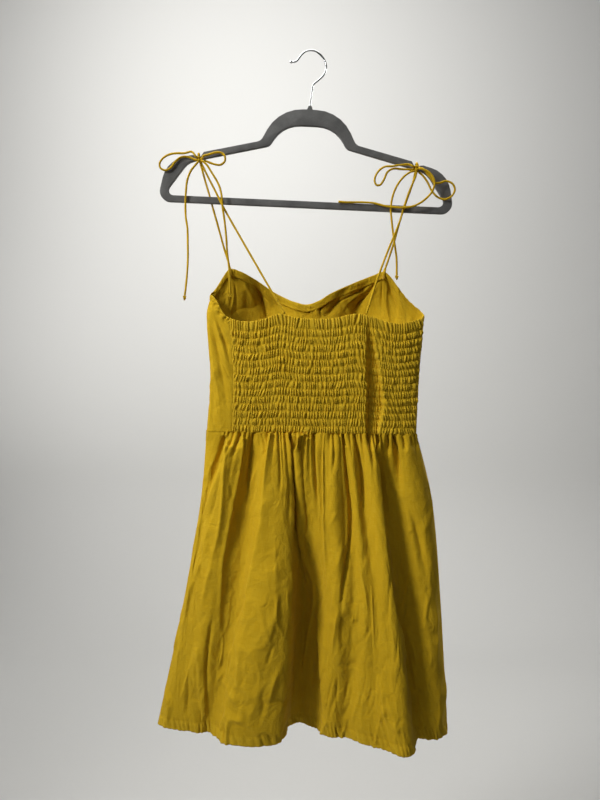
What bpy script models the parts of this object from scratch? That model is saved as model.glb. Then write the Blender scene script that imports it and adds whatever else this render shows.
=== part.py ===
"""Cotton mini dress with a shirred back, hanging by four tied straps on a flocked hanger.

World frame: metres, +Z up. Someone looking along +Y sees the dress's back, with +X to the right.
The origin is the top of the hook's inside, the spot that rests on whatever holds the hanger.
Sizes below are in millimetres and become metres where a mesh or a curve is made.
"""

import math
from typing import NamedTuple

import bmesh
import bpy
from mathutils import Matrix, Vector

MM = 0.001
SEAM_GAP = 0.3

# Cloth
WALL = 1.3
HEM_WALL = 2.2
HEM_DEPTH = 14.0
CORD = 3.2
BEND_STEP = math.radians(34.0)

# Heights of the dress
CUP_SEAM_Z = -415.0
WAIST_Z = -577.5
WAIST_SLOPE = -0.018
HEM_Z = -1036.0

# Hanger, in its own upright frame before it is tilted
HANGER_TILT = math.radians(2.6)
HANGER_CENTRE = 4.7
HANGER_THICKNESS = 5.5
HOOK_WIRE = 2.8


class Girth(NamedTuple):
    """The bodice's plan at one height: a flattened oval, deeper on one side."""
    z: float
    centre: float
    half_width: float
    back: float
    front: float


GIRTHS = (
    Girth(-320, 5.0, 151.0, 25.0, 18.0),
    Girth(-370, 6.5, 155.5, 25.0, 18.0),
    Girth(-400, 8.0, 163.4, 25.0, 18.0),
    Girth(-490, 7.8, 157.8, 22.0, 15.0),
    Girth(-578, 3.0, 158.7, 15.0, 13.0),
)
GIRTH_ROUNDNESS = 3.4


class Edge(NamedTuple):
    """The bodice's top edge: height at a share of the way round, from the left side by the back."""
    round: float
    z: float


TOP_EDGE = (
    Edge(-0.049, -326), Edge(-0.0375, -334), Edge(-0.025, -348), Edge(-0.0125, -361), Edge(0.000, -368),
    Edge(0.020, -372), Edge(0.037, -382), Edge(0.062, -404),
    Edge(0.104, -412), Edge(0.143, -408), Edge(0.174, -401), Edge(0.210, -407), Edge(0.284, -408),
    Edge(0.338, -401), Edge(0.372, -406), Edge(0.421, -415), Edge(0.459, -411), Edge(0.500, -398),
    Edge(0.525, -377), Edge(0.550, -349), Edge(0.5625, -337), Edge(0.577, -329.5), Edge(0.601, -334),
    Edge(0.637, -342), Edge(0.675, -352), Edge(0.7125, -364), Edge(0.737, -374), Edge(0.767, -380),
    Edge(0.800, -374), Edge(0.813, -370), Edge(0.850, -357), Edge(0.875, -346), Edge(0.900, -337),
    Edge(0.925, -329.5), Edge(0.951, -326), Edge(0.9625, -334), Edge(0.975, -348), Edge(0.9875, -361),
    Edge(1.000, -368), Edge(1.020, -372), Edge(1.037, -382), Edge(1.062, -404), Edge(1.104, -412),
)

# Seams of the bodice, as shares of the way round
BACK_LEFT_SEAM = 0.068
BACK_RIGHT_SEAM = 0.488
RIGHT_SIDE_SEAM = 0.545
RIGHT_CUP_SEAM = 0.58
CENTRE_FRONT = 0.758
LEFT_CUP_SEAM = 0.941
LEFT_SIDE_SEAM = 0.985
GIRTH_LENGTH = 700.0


class Cup(NamedTuple):
    """A bust cup: the middle of its swell, how far it stands out and how wide it is."""
    x: float
    z: float
    swell: float
    width: float
    height: float


CUPS = (Cup(-70, -388, 24, 44, 48), Cup(84, -388, 24, 44, 48))


class CupPanel(NamedTuple):
    """One sewn piece of a cup, between two seams, and how finely it is made."""
    start: float
    end: float
    columns: int


CUP_PANELS = {
    "outer_right": CupPanel(RIGHT_SIDE_SEAM, RIGHT_CUP_SEAM, 4),
    "inner_right": CupPanel(RIGHT_CUP_SEAM, CENTRE_FRONT, 14),
    "inner_left": CupPanel(CENTRE_FRONT, LEFT_CUP_SEAM, 15),
    "outer_left": CupPanel(LEFT_CUP_SEAM, LEFT_SIDE_SEAM, 4),
}
CUP_ROWS = 6
MIDRIFF_ROWS = 7


class Crease(NamedTuple):
    """A fold pressed into the cups, from its upper end to its lower end."""
    x_top: float
    z_top: float
    x_low: float
    z_low: float
    depth: float
    width: float


CUP_CREASES = (
    Crease(-80, -350, -62, -404, 5.0, 8.0),
    Crease(-52, -370, -34, -400, 3.0, 8.0),
    Crease(57, -354, 32, -392, 3.0, 8.0),
    Crease(88, -350, 70, -404, 5.0, 8.0),
    Crease(124, -350, 132, -404, 4.0, 8.0),
)


class Trough(NamedTuple):
    """The deep fold down the shirred back: its right border and depth at one height."""
    z: float
    right: float
    depth: float


TROUGH_LEFT = 82.0
TROUGH = (
    Trough(-408, 86, 0.0), Trough(-450, 95, 6.0), Trough(-508, 105, 8.0), Trough(-533, 108, 8.0),
    Trough(-564, 103, 7.0), Trough(-582, 100, 6.0),
)

# Shirring on the back
SHIR_ROWS = 15
SHIR_PUCKERS = 30
SHIR_HEADER = 1.45
PUCKER_HEIGHT = 1.7


class Fold(NamedTuple):
    """A line down the skirt: where it lies, and how near, at the waist and at three heights below."""
    name: str
    x_waist: float
    x_upper: float
    x_middle: float
    x_hem: float
    y_waist: float
    y_upper: float
    y_middle: float
    y_hem: float


FOLD_HEIGHTS = (0.0, 0.22, 0.55, 1.0)
BACK_FOLDS = (
    Fold("side_seam_left", -156, -165, -192, -238, 2, 8, 20, 36),
    Fold("plain_side", -139, -159, -186, -227, -10, -3, 8, 23),
    Fold("behind_ridge_a", -124, -153, -181, -205, -12, -6, 4, 15),
    Fold("ridge_a_edge", -115, -143, -170, -184, -19, -19, -5, 10),
    Fold("ridge_a", -103, -123, -146, -167, -20, -24, -17, 5),
    Fold("valley_a", -88, -101, -123, -154, -12, -11, -12, 10),
    Fold("valley_a_floor", -73, -84, -106, -142, -13, -12, -14, -3),
    Fold("ridge_b_edge", -60, -69, -92, -127, -20, -29, -32, -19),
    Fold("ridge_b", -51, -49, -66, -100, -21, -34, -44, -28),
    Fold("ridge_b_flank", -42, -36, -42, -67, -20, -32, -43, -29),
    Fold("ridge_b_fall", -33, -26, -24, -40, -16, -23, -33, -19),
    Fold("deep_valley", -25, -20, -17, -30, -11, -6, 3, 22),
    Fold("valley_floor", -17, -12, -8, -16, -9, 0, 17, 36),
    Fold("valley_rise", -7, 0, 7, 0, -16, -11, 8, 27),
    Fold("small_ridge", 6, 11, 17, 13, -19, -19, -4, 18),
    Fold("centre_crease", 20, 21, 27, 22, -16, -20, -18, 1),
    Fold("ridge_c_start", 34, 37, 43, 36, -21, -28, -30, -6),
    Fold("valley_c", 48, 58, 64, 55, -14, -18, -25, -6),
    Fold("ridge_c_mid", 59, 69, 80, 76, -20, -27, -34, -22),
    Fold("valley_d", 71, 81, 94, 95, -14, -20, -35, -29),
    Fold("ridge_c_rise", 83, 94, 108, 111, -21, -32, -43, -38),
    Fold("ridge_c_crest", 93, 104, 119, 128, -20, -32, -46, -52),
    Fold("ridge_c_edge", 100, 111, 129, 148, -16, -24, -37, -48),
    Fold("right_valley", 108, 116, 136, 160, -9, -4, -6, -10),
    Fold("shadow_floor", 124, 130, 148, 172, -12, -5, -4, -8),
    Fold("right_ridge", 140, 151, 168, 186, -17, -15, -13, -10),
    Fold("right_flank", 154, 172, 185, 200, -10, -12, -11, -4),
    Fold("side_seam_right", 162, 186, 200, 213, 0, 3, 8, 19),
)
FRONT_FOLDS = 14
FRONT_DEPTHS = (13.0, 22.0, 36.0, 52.0)
FRONT_WAVES = (0.5, 2.5, 6.0, 8.0)
GATHER_HEIGHT = 2.0
GATHER_REACH = 0.14
BACK_SPAN = len(BACK_FOLDS) - 1
RING_SPAN = len(BACK_FOLDS) + FRONT_FOLDS
SKIRT_ROWS = (0.0, 0.025, 0.06, 0.11, 0.18, 0.27, 0.38, 0.5, 0.63, 0.76, 0.88, 0.968, 0.972, 1.0)
SKIRT_FINE_ROWS = 4
FOLD_PITCH = 12.0


def smooth(value):
    """An eased step from 0 to 1."""
    value = min(max(value, 0.0), 1.0)
    return value * value * (3.0 - 2.0 * value)


def cubic(knots, values, at):
    """A smooth curve through values at rising knots, level beyond the ends."""
    last = len(knots) - 1
    if at <= knots[0]:
        return values[0]
    if at >= knots[last]:
        return values[last]
    i = max(k for k in range(last) if knots[k] <= at)

    def slope(k):
        low, high = max(k - 1, 0), min(k + 1, last)
        return (values[high] - values[low]) / (knots[high] - knots[low])

    step = knots[i + 1] - knots[i]
    t = (at - knots[i]) / step
    return ((2 * t**3 - 3 * t**2 + 1) * values[i] + (t**3 - 2 * t**2 + t) * step * slope(i)
            + (3 * t**2 - 2 * t**3) * values[i + 1] + (t**3 - t**2) * step * slope(i + 1))


def column(rows, field):
    return [getattr(row, field) for row in rows]


def uneven(n, seed):
    """A fixed value between -1 and 1 that looks unordered as n grows."""
    return math.sin(n * 12.9898 + seed * 4.137) * math.cos(n * 4.1414 + seed * 7.77)


def waist_z(x):
    return WAIST_Z + WAIST_SLOPE * x


def girth_at(z):
    """Centre, half width, back depth and front depth of the bodice at a height."""
    heights = [-girth.z for girth in GIRTHS]
    return [cubic(heights, column(GIRTHS, field), -z) for field in Girth._fields[1:]]


def oval_quarter(half_width, depth, share):
    """A point at a share of the arc from an oval's end (0) to its middle (1)."""
    steps = 40
    power = 2.0 / GIRTH_ROUNDNESS
    points = []
    for k in range(steps + 1):
        angle = 0.5 * math.pi * k / steps
        points.append((half_width * max(math.cos(angle), 0.0)**power, depth * math.sin(angle)**power))
    lengths = [0.0]
    for first, second in zip(points, points[1:]):
        lengths.append(lengths[-1] + math.dist(first, second))
    target = share * lengths[-1]
    k = max(index for index in range(steps) if lengths[index] <= target + 1e-9)
    blend = (target - lengths[k]) / (lengths[k + 1] - lengths[k])
    return [a + (b - a) * blend for a, b in zip(points[k], points[k + 1])]


def back_relief(x, z):
    """How far the shirred back lies in from its oval: the trough and the proud fold beside it."""
    heights = [-trough.z for trough in TROUGH]
    right = cubic(heights, column(TROUGH, "right"), -z)
    depth = cubic(heights, column(TROUGH, "depth"), -z)
    inside = smooth((x - TROUGH_LEFT) / 6.0) * (1.0 - smooth((x - right) / 8.0))
    beside = smooth((x - right) / 8.0) * math.exp(-max(x - right, 0.0) / 40.0)
    return depth * (inside - 0.4 * beside)


def cup_relief(x, z):
    """How far the cups stand out from the front's oval, with their creases."""
    swell = sum(cup.swell * math.exp(-((x - cup.x) / cup.width)**2 - ((z - cup.z) / cup.height)**2)
                for cup in CUPS)
    for crease in CUP_CREASES:
        t = (z - crease.z_top) / (crease.z_low - crease.z_top)
        line_x = crease.x_top + (crease.x_low - crease.x_top) * t
        fade = smooth((t + 0.3) / 0.5) * smooth((1.4 - t) / 0.5)
        swell += crease.depth * fade * math.exp(-((x - line_x) / crease.width)**2)
    return swell


def bodice_point(round_share, z):
    """A point on the bodice's outside: round_share 0 left side, 0.25 back, 0.5 right side, 0.75 front."""
    centre, half_width, back, front = girth_at(z)
    quarter, share = divmod((round_share % 1.0) * 4.0, 1.0)
    toward_middle = quarter in (0, 2)
    on_back = quarter < 2
    x, y = oval_quarter(half_width, back if on_back else front, share if toward_middle else 1.0 - share)
    on_left = quarter in (0, 3)
    x = centre - x if on_left else centre + x
    y = -y + back_relief(x, z) if on_back else y + cup_relief(x, z)
    return Vector((x, y, z))


def top_edge_z(round_share):
    return cubic(column(TOP_EDGE, "round"), column(TOP_EDGE, "z"), round_share)


def bodice_surface(start, end, *levels):
    """A surface over one bodice panel: across from seam to seam, down one unit from level to level."""
    inset = 0.5 * SEAM_GAP / GIRTH_LENGTH

    def surface(across, down):
        share = start + inset + (end - start - 2.0 * inset) * across
        step = min(int(down), len(levels) - 2)
        high, low = levels[step](share), levels[step + 1](share)
        return bodice_point(share, high + (low - high) * (down - step))

    return surface


def above_waist(share):
    x = bodice_point(share, WAIST_Z).x
    return waist_z(x) + 0.5 * SEAM_GAP


def above_cup_seam(share):
    return CUP_SEAM_Z + 0.5 * SEAM_GAP


def below_cup_seam(share):
    return CUP_SEAM_Z - 0.5 * SEAM_GAP


def under_arm(share):
    """The level, on the side panels, that the cup seam runs into."""
    return min(CUP_SEAM_Z, top_edge_z(share) - 3.0)


def front_fold(number):
    """A fold line on the skirt's front, worked out between the two side seams."""
    t = number / (FRONT_FOLDS + 1)
    start, end = BACK_FOLDS[-1], BACK_FOLDS[0]
    spread = 0.5 * t + 0.5 * (0.5 - 0.5 * math.cos(math.pi * t))
    crown = 1.0 - abs(2.0 * t - 1.0)**3.5
    wave = math.cos(math.pi * number) * (1.0 + 0.35 * uneven(number, 3))
    values = []
    for k in range(4):
        x_start, x_end = start[1 + k], end[1 + k]
        values.append(x_start + (x_end - x_start) * spread + 0.5 * FRONT_WAVES[k] * uneven(number, 5))
    for k in range(4):
        y_seam = start[5 + k] + (end[5 + k] - start[5 + k]) * t
        values.append(y_seam + (FRONT_DEPTHS[k] - y_seam) * crown + FRONT_WAVES[k] * crown * (1.0 + wave))
    return Fold(f"front_{number}", *values)


FOLDS = BACK_FOLDS + tuple(front_fold(number) for number in range(1, FRONT_FOLDS + 1))


def gather(around, down):
    """How far a waist gather stands out: one to each fold, uneven, fading below the waist."""
    reach = GATHER_REACH * (1.0 + 0.5 * uneven(round(around), 1))
    height = GATHER_HEIGHT * (1.0 + 0.4 * uneven(round(around), 2))
    at_back = around <= BACK_SPAN
    to_seam = min(around, BACK_SPAN - around) if at_back else min(around - BACK_SPAN, RING_SPAN - around)
    size = height * smooth(to_seam / 1.5) * math.exp(-(down / reach)**1.5)
    wave = size * math.cos(2.0 * math.pi * around)
    return -wave if at_back else wave


def skirt_point(around, down):
    """A point on the skirt's outside: around counts fold lines from the left seam, down runs 0 to 1."""
    first = math.floor(around)
    t = around - first
    folds = [FOLDS[(first + k) % RING_SPAN] for k in (-1, 0, 1, 2)]
    weights = (-0.5 * t + t**2 - 0.5 * t**3, 1 - 2.5 * t**2 + 1.5 * t**3,
               0.5 * t + 2 * t**2 - 1.5 * t**3, -0.5 * t**2 + 0.5 * t**3)
    x = sum(w * cubic(FOLD_HEIGHTS, fold[1:5], down) for w, fold in zip(weights, folds))
    y = sum(w * cubic(FOLD_HEIGHTS, fold[5:9], down) for w, fold in zip(weights, folds))
    top = waist_z(x) - 0.5 * SEAM_GAP
    return Vector((x, y + gather(around % RING_SPAN, down), top + (HEM_Z - top) * down))


def skirt_surface(start, end):
    """A surface over one skirt panel between two fold numbers, with the seam gap taken off."""
    def surface(across, down):
        inset = 0.5 * SEAM_GAP / FOLD_PITCH
        return skirt_point(start + inset + (end - start - 2.0 * inset) * across, down)

    return surface


def offset(surface, across, down, distance):
    """The surface's point, moved level toward the inside of the dress."""
    if distance == 0.0:
        return surface(across, down)
    step = 0.004
    along = surface(across + step, down) - surface(across - step, down)
    inward = Vector((along.y * -1.0, along.x, 0.0)).normalized()
    return surface(across, down) + inward * distance


def skin(surface, columns, rows, distance=0.0):
    """Rows of points on a surface. columns is one count, or a count for each row."""
    counts = columns if isinstance(columns, (list, tuple)) else [columns] * len(rows)
    return [[offset(surface, k / count, down, distance(down) if callable(distance) else distance)
             for k in range(count + 1)] for count, down in zip(counts, rows)]


def even_rows(count):
    return [k / count for k in range(count + 1)]


def zip_chains(bm, first, second):
    """Fill the strip between two chains of vertices with triangles, whatever their counts."""
    i = j = 0
    while i < len(first) - 1 or j < len(second) - 1:
        first_behind = (i + 1) * (len(second) - 1) <= (j + 1) * (len(first) - 1)
        if j == len(second) - 1 or (i < len(first) - 1 and first_behind):
            bm.faces.new((first[i], first[i + 1], second[j]))
            i += 1
        else:
            bm.faces.new((first[i], second[j + 1], second[j]))
            j += 1


def finish_mesh(name, bm, material, sharp_angle=60.0):
    """Make an object of a closed bmesh in millimetres, faces pointing out."""
    bmesh.ops.scale(bm, vec=(MM, MM, MM), verts=bm.verts)
    bmesh.ops.recalc_face_normals(bm, faces=bm.faces)
    mesh = bpy.data.meshes.new(name)
    bm.to_mesh(mesh)
    bm.free()
    mesh.shade_smooth()
    mesh.set_sharp_from_angle(angle=math.radians(sharp_angle))
    mesh.materials.append(material)
    thing = bpy.data.objects.new(name, mesh)
    bpy.context.scene.collection.objects.link(thing)
    return thing


def wall(name, outer, inner, material):
    """A closed wall between two skins, each a list of rows of points from the top edge down."""
    bm = bmesh.new()
    skins = []
    for rows in (outer, inner):
        skins.append([[bm.verts.new(point) for point in row] for row in rows])
    for rows in skins:
        for upper, lower in zip(rows, rows[1:]):
            zip_chains(bm, upper, lower)
    out, back = skins
    zip_chains(bm, out[0], back[0])
    zip_chains(bm, out[-1], back[-1])
    zip_chains(bm, [row[0] for row in out], [row[0] for row in back])
    zip_chains(bm, [row[-1] for row in out], [row[-1] for row in back])
    return finish_mesh(name, bm, material)


def plain_panel(name, surface, columns, rows, material, thickness=WALL):
    outer = skin(surface, columns, rows)
    inner = skin(surface, columns, rows, thickness)
    return wall(name, outer, inner, material)


def make_shirred_back(cloth):
    """The back panel: puckers stand between level shirring threads, over a plain inside."""
    surface = bodice_surface(BACK_LEFT_SEAM, BACK_RIGHT_SEAM, top_edge_z, above_waist)
    fine, coarse = 2 * SHIR_PUCKERS, SHIR_PUCKERS
    pitch = 1.0 / (SHIR_ROWS - 1 + SHIR_HEADER)
    lines = [(0.0, fine, 0.5), (0.5 * SHIR_HEADER * pitch, fine, 1.0), (SHIR_HEADER * pitch, coarse, 0.0)]
    for row in range(SHIR_ROWS - 1):
        thread = (SHIR_HEADER + row) * pitch
        lines.append((thread + 0.5 * pitch, fine, 1.0))
        lines.append((thread + pitch, coarse, 0.0))
    outer = []
    for number, (down, count, strength) in enumerate(lines):
        row = [offset(surface, k / coarse, down, 0.0) for k in range(coarse + 1)]
        if count == fine:
            puckered = row[:1]
            for k, (before, after) in enumerate(zip(row, row[1:])):
                raised = PUCKER_HEIGHT * strength * (0.8 + 0.2 * uneven(k, number))
                out = Vector((after.y - before.y, before.x - after.x, 0.0)).normalized()
                puckered += [before.lerp(after, 0.5) + out * raised, after]
            row = puckered
        outer.append(row)
    threads = [0.0] + [down for down, count, strength in lines if count == coarse]
    inner = skin(surface, coarse, threads, WALL)
    return wall("back_smocked", outer, inner, cloth)


def make_bodice_front(cloth):
    """Side panels, cups, midriff and the facing that shows along the cups' top edge."""
    sides = {
        "side_panel_left": (LEFT_SIDE_SEAM - 1.0, BACK_LEFT_SEAM),
        "side_panel_right": (BACK_RIGHT_SEAM, RIGHT_SIDE_SEAM),
    }
    below = [1.0 + row for row in even_rows(MIDRIFF_ROWS)]
    for name, (start, end) in sides.items():
        surface = bodice_surface(start, end, top_edge_z, under_arm, above_waist)
        plain_panel(name, surface, 5, even_rows(CUP_ROWS) + below[1:], cloth)
    for name, panel in CUP_PANELS.items():
        surface = bodice_surface(panel.start, panel.end, top_edge_z, above_cup_seam)
        plain_panel(f"cup_{name}", surface, panel.columns, even_rows(CUP_ROWS), cloth)
    midriff = bodice_surface(RIGHT_SIDE_SEAM, LEFT_SIDE_SEAM, below_cup_seam, above_waist)
    plain_panel("midriff_front", midriff, 18, even_rows(MIDRIFF_ROWS), cloth)


FACING_DEPTH = 12.0
FACING_WALL = 0.9
FACING_GAP = 1.1
FACING_DROP = 0.4


def make_facings(cloth):
    """Strips sewn inside the cups' top edge, one along each cup panel."""
    def facing_top(share):
        return top_edge_z(share) - FACING_DROP

    def facing_bottom(share):
        return top_edge_z(share) - FACING_DEPTH

    for name, panel in CUP_PANELS.items():
        surface = bodice_surface(panel.start, panel.end, facing_top, facing_bottom)
        outer = skin(surface, panel.columns, even_rows(2), WALL + FACING_GAP)
        inner = skin(surface, panel.columns, even_rows(2), WALL + FACING_GAP + FACING_WALL)
        wall(f"facing_{name}", outer, inner, cloth)


def make_skirt(cloth):
    """Back and front skirt, gathered at the waist and thicker where the hem is folded up."""
    hem_start = 1.0 - HEM_DEPTH / (WAIST_Z - HEM_Z)

    def thickness(down):
        return HEM_WALL if down > hem_start + 0.001 else WALL

    fine, coarse = 4 * BACK_SPAN, 2 * BACK_SPAN
    counts = [fine if k < SKIRT_FINE_ROWS else coarse for k in range(len(SKIRT_ROWS))]
    surface = skirt_surface(0, BACK_SPAN)
    outer = skin(surface, counts, SKIRT_ROWS)
    inner = skin(surface, counts, SKIRT_ROWS, thickness)
    wall("skirt_back", outer, inner, cloth)
    surface = skirt_surface(BACK_SPAN, RING_SPAN)
    columns = 2 * (FRONT_FOLDS + 1)
    outer = skin(surface, columns, SKIRT_ROWS)
    inner = skin(surface, columns, SKIRT_ROWS, thickness)
    wall("skirt_front", outer, inner, cloth)


class Corner(NamedTuple):
    """A corner of the hanger's outline, right half, in the hanger's own frame."""
    x: float
    z: float
    radius: float


HANGER_OUTER = (
    Corner(2.6, -83.8, 0.8), Corner(4.4, -89.2, 0.8), Corner(47.0, -89.2, 60.0), Corner(72.0, -139.5, 12.0),
    Corner(157.2, -160.2, 1.2), Corner(162.2, -168.2, 1.8), Corner(174.5, -165.6, 2.0),
    Corner(213.0, -175.5, 42.0), Corner(224.3, -237.6, 16.0),
)
HANGER_INNER = (
    Corner(39.0, -113.8, 46.0), Corner(58.0, -146.3, 12.0), Corner(180.0, -176.5, 28.0),
    Corner(215.0, -227.7, 8.0),
)


def rounded(corners, start, end):
    """Points along a line with each corner rounded to its radius, between two end points."""
    points = [Vector(start)]
    path = [Vector(start)] + [Vector((corner.x, corner.z)) for corner in corners] + [Vector(end)]
    for before, at, after, corner in zip(path, path[1:], path[2:], corners):
        back, forth = (before - at).normalized(), (after - at).normalized()
        half = 0.5 * back.angle(forth)
        reach = corner.radius / math.tan(half)
        centre = at + (back + forth).normalized() * corner.radius / math.sin(half)
        turn = math.pi - 2.0 * half
        steps = max(2, round(turn / math.radians(13.0)))
        first, last = at + back * reach - centre, at + forth * reach - centre
        for k in range(steps + 1):
            t = k / steps
            mix = (first * math.sin((1.0 - t) * turn) + last * math.sin(t * turn)) / math.sin(turn)
            points.append(centre + mix)
    points.append(Vector(end))
    return points


def both_halves(right_half):
    """Mirror an outline that starts and ends on the hanger's middle line."""
    left_half = [Vector((-point.x, point.y)) for point in reversed(right_half[1:-1])]
    return right_half + left_half


def tilted(x, y, z):
    """A point of the upright hanger, moved to its hanging place."""
    return Matrix.Rotation(HANGER_TILT, 3, "Y") @ Vector((x + HANGER_CENTRE, y, z))


def make_hanger_frame(flock):
    """The flat frame: a shoulder outline with two strap notches, cut through above its bar."""
    loops = (
        both_halves(rounded(HANGER_OUTER, (0.0, -83.8), (0.0, -237.6))),
        both_halves(rounded(HANGER_INNER, (0.0, -113.8), (0.0, -227.7))),
    )
    bm = bmesh.new()
    for loop in loops:
        corners = [bm.verts.new(tilted(point.x, -0.5 * HANGER_THICKNESS, point.y)) for point in loop]
        for first, second in zip(corners, corners[1:] + corners[:1]):
            bm.edges.new((first, second))
    bmesh.ops.triangle_fill(bm, use_beauty=True, use_dissolve=False, edges=bm.edges)
    front = bmesh.ops.extrude_face_region(bm, geom=bm.faces[:], use_keep_orig=True)
    moved = [item for item in front["geom"] if isinstance(item, bmesh.types.BMVert)]
    bmesh.ops.translate(bm, vec=(0.0, HANGER_THICKNESS, 0.0), verts=moved)
    return finish_mesh("hanger_frame", bm, flock, 30.0)


def curve_through(points, spacing, tightest):
    """Points on a smooth curve through a route's own points, closer together where it bends."""
    path = [Vector(point) for point in points]
    path = [2.0 * path[0] - path[1]] + path + [2.0 * path[-1] - path[-2]]
    fine = []
    for a, b, c, d in zip(path, path[1:], path[2:], path[3:]):
        knots = [0.0]
        for first, second in ((a, b), (b, c), (c, d)):
            knots.append(knots[-1] + math.sqrt((second - first).length))
        steps = max(4, round((c - b).length))
        for step in range(steps):
            t = knots[1] + (knots[2] - knots[1]) * step / steps
            ab = a.lerp(b, (t - knots[0]) / (knots[1] - knots[0]))
            bc = b.lerp(c, (t - knots[1]) / (knots[2] - knots[1]))
            cd = c.lerp(d, (t - knots[2]) / (knots[3] - knots[2]))
            abc = ab.lerp(bc, (t - knots[0]) / (knots[2] - knots[0]))
            bcd = bc.lerp(cd, (t - knots[1]) / (knots[3] - knots[1]))
            fine.append(abc.lerp(bcd, (t - knots[1]) / (knots[2] - knots[1])))
    fine.append(path[-2])
    kept = [fine[0]]
    heading = fine[1] - fine[0]
    for before, at, after in zip(fine, fine[1:], fine[2:]):
        gone = (at - kept[-1]).length
        turned = heading.angle(after - at)
        left = (fine[-1] - at).length
        if left > tightest and (gone >= spacing or (gone >= tightest and turned > BEND_STEP)):
            kept.append(at)
            heading = after - at
    return kept + [fine[-1]]


def tube(name, points, diameter, resolution, material):
    """A round tube along a route, with filled ends."""
    curve = bpy.data.curves.new(name, "CURVE")
    curve.dimensions = "3D"
    curve.bevel_depth = 0.5 * diameter * MM
    curve.bevel_resolution = resolution
    curve.use_fill_caps = True
    spline = curve.splines.new("POLY")
    spline.points.add(len(points) - 1)
    for target, point in zip(spline.points, points):
        target.co = (*(point * MM), 1.0)
    curve.materials.append(material)
    thing = bpy.data.objects.new(name, curve)
    bpy.context.scene.collection.objects.link(thing)
    return thing


def bead(name, centre, half_sizes, material):
    """A small rounded lump, for a knot or the hook's tip."""
    bm = bmesh.new()
    bmesh.ops.create_uvsphere(bm, u_segments=8, v_segments=6, radius=1.0)
    bmesh.ops.scale(bm, vec=half_sizes, verts=bm.verts)
    bmesh.ops.translate(bm, vec=centre, verts=bm.verts)
    return finish_mesh(name, bm, material)


# The hook's wire, in the hanger's own frame before it is tilted, from its tip round to the frame
HOOK_ROUTE = (
    (-29.6, -17.2), (-26.0, -16.9), (-22.4, -14.4), (-19.2, -9.4), (-14.6, -3.6), (-9.0, 0.0), (-3.4, 1.3),
    (3.0, 0.8), (9.6, -2.4), (16.0, -8.8), (20.0, -15.8), (21.6, -23.6), (20.0, -31.2), (15.8, -38.0),
    (9.8, -44.0), (4.6, -48.6), (2.6, -52.5), (1.6, -62.0), (0.6, -73.0), (0.0, -83.5),
)
HOOK_TIP = 2.2


def make_hook(chrome):
    route = [tilted(x, 0.0, z) for x, z in HOOK_ROUTE]
    tube("hanger_hook", curve_through(route, 3.0 * HOOK_WIRE, HOOK_WIRE), HOOK_WIRE, 2, chrome)
    first, second = route[0], route[1]
    centre = first + (first - second).normalized() * (HOOK_TIP + SEAM_GAP)
    bead("hook_tip", centre, (HOOK_TIP, HOOK_TIP, HOOK_TIP), chrome)


KNOT_HALF = Vector((5.2, 5.0, 4.6))
KNOTS = {"left": Vector((-164.2, -8.3, -167.0)), "right": Vector((161.0, -8.3, -181.2))}
END_KNOT_HALF = Vector((2.6, 2.6, 3.0))


def knot_exit(side, turn, nearer):
    """Two points where a cord leaves a bow knot: turn from +X toward +Z, nearer toward the viewer."""
    turn, nearer = math.radians(turn), math.radians(nearer)
    way = Vector((math.cos(turn) * math.cos(nearer), -math.sin(nearer), math.sin(turn) * math.cos(nearer)))
    radius = 1.0 / math.sqrt(sum((part / half)**2 for part, half in zip(way, KNOT_HALF)))
    centre = KNOTS[side]
    return [centre + way * (radius + 0.45), centre + way * (radius + 3.0)]


class Cord(NamedTuple):
    """A stretch of rouleau cord: the knot it leaves, its exit and return angles, and its route."""
    name: str
    side: str
    leave: tuple
    route: tuple
    comes_back: tuple = None
    end_knot: str = None


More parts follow.
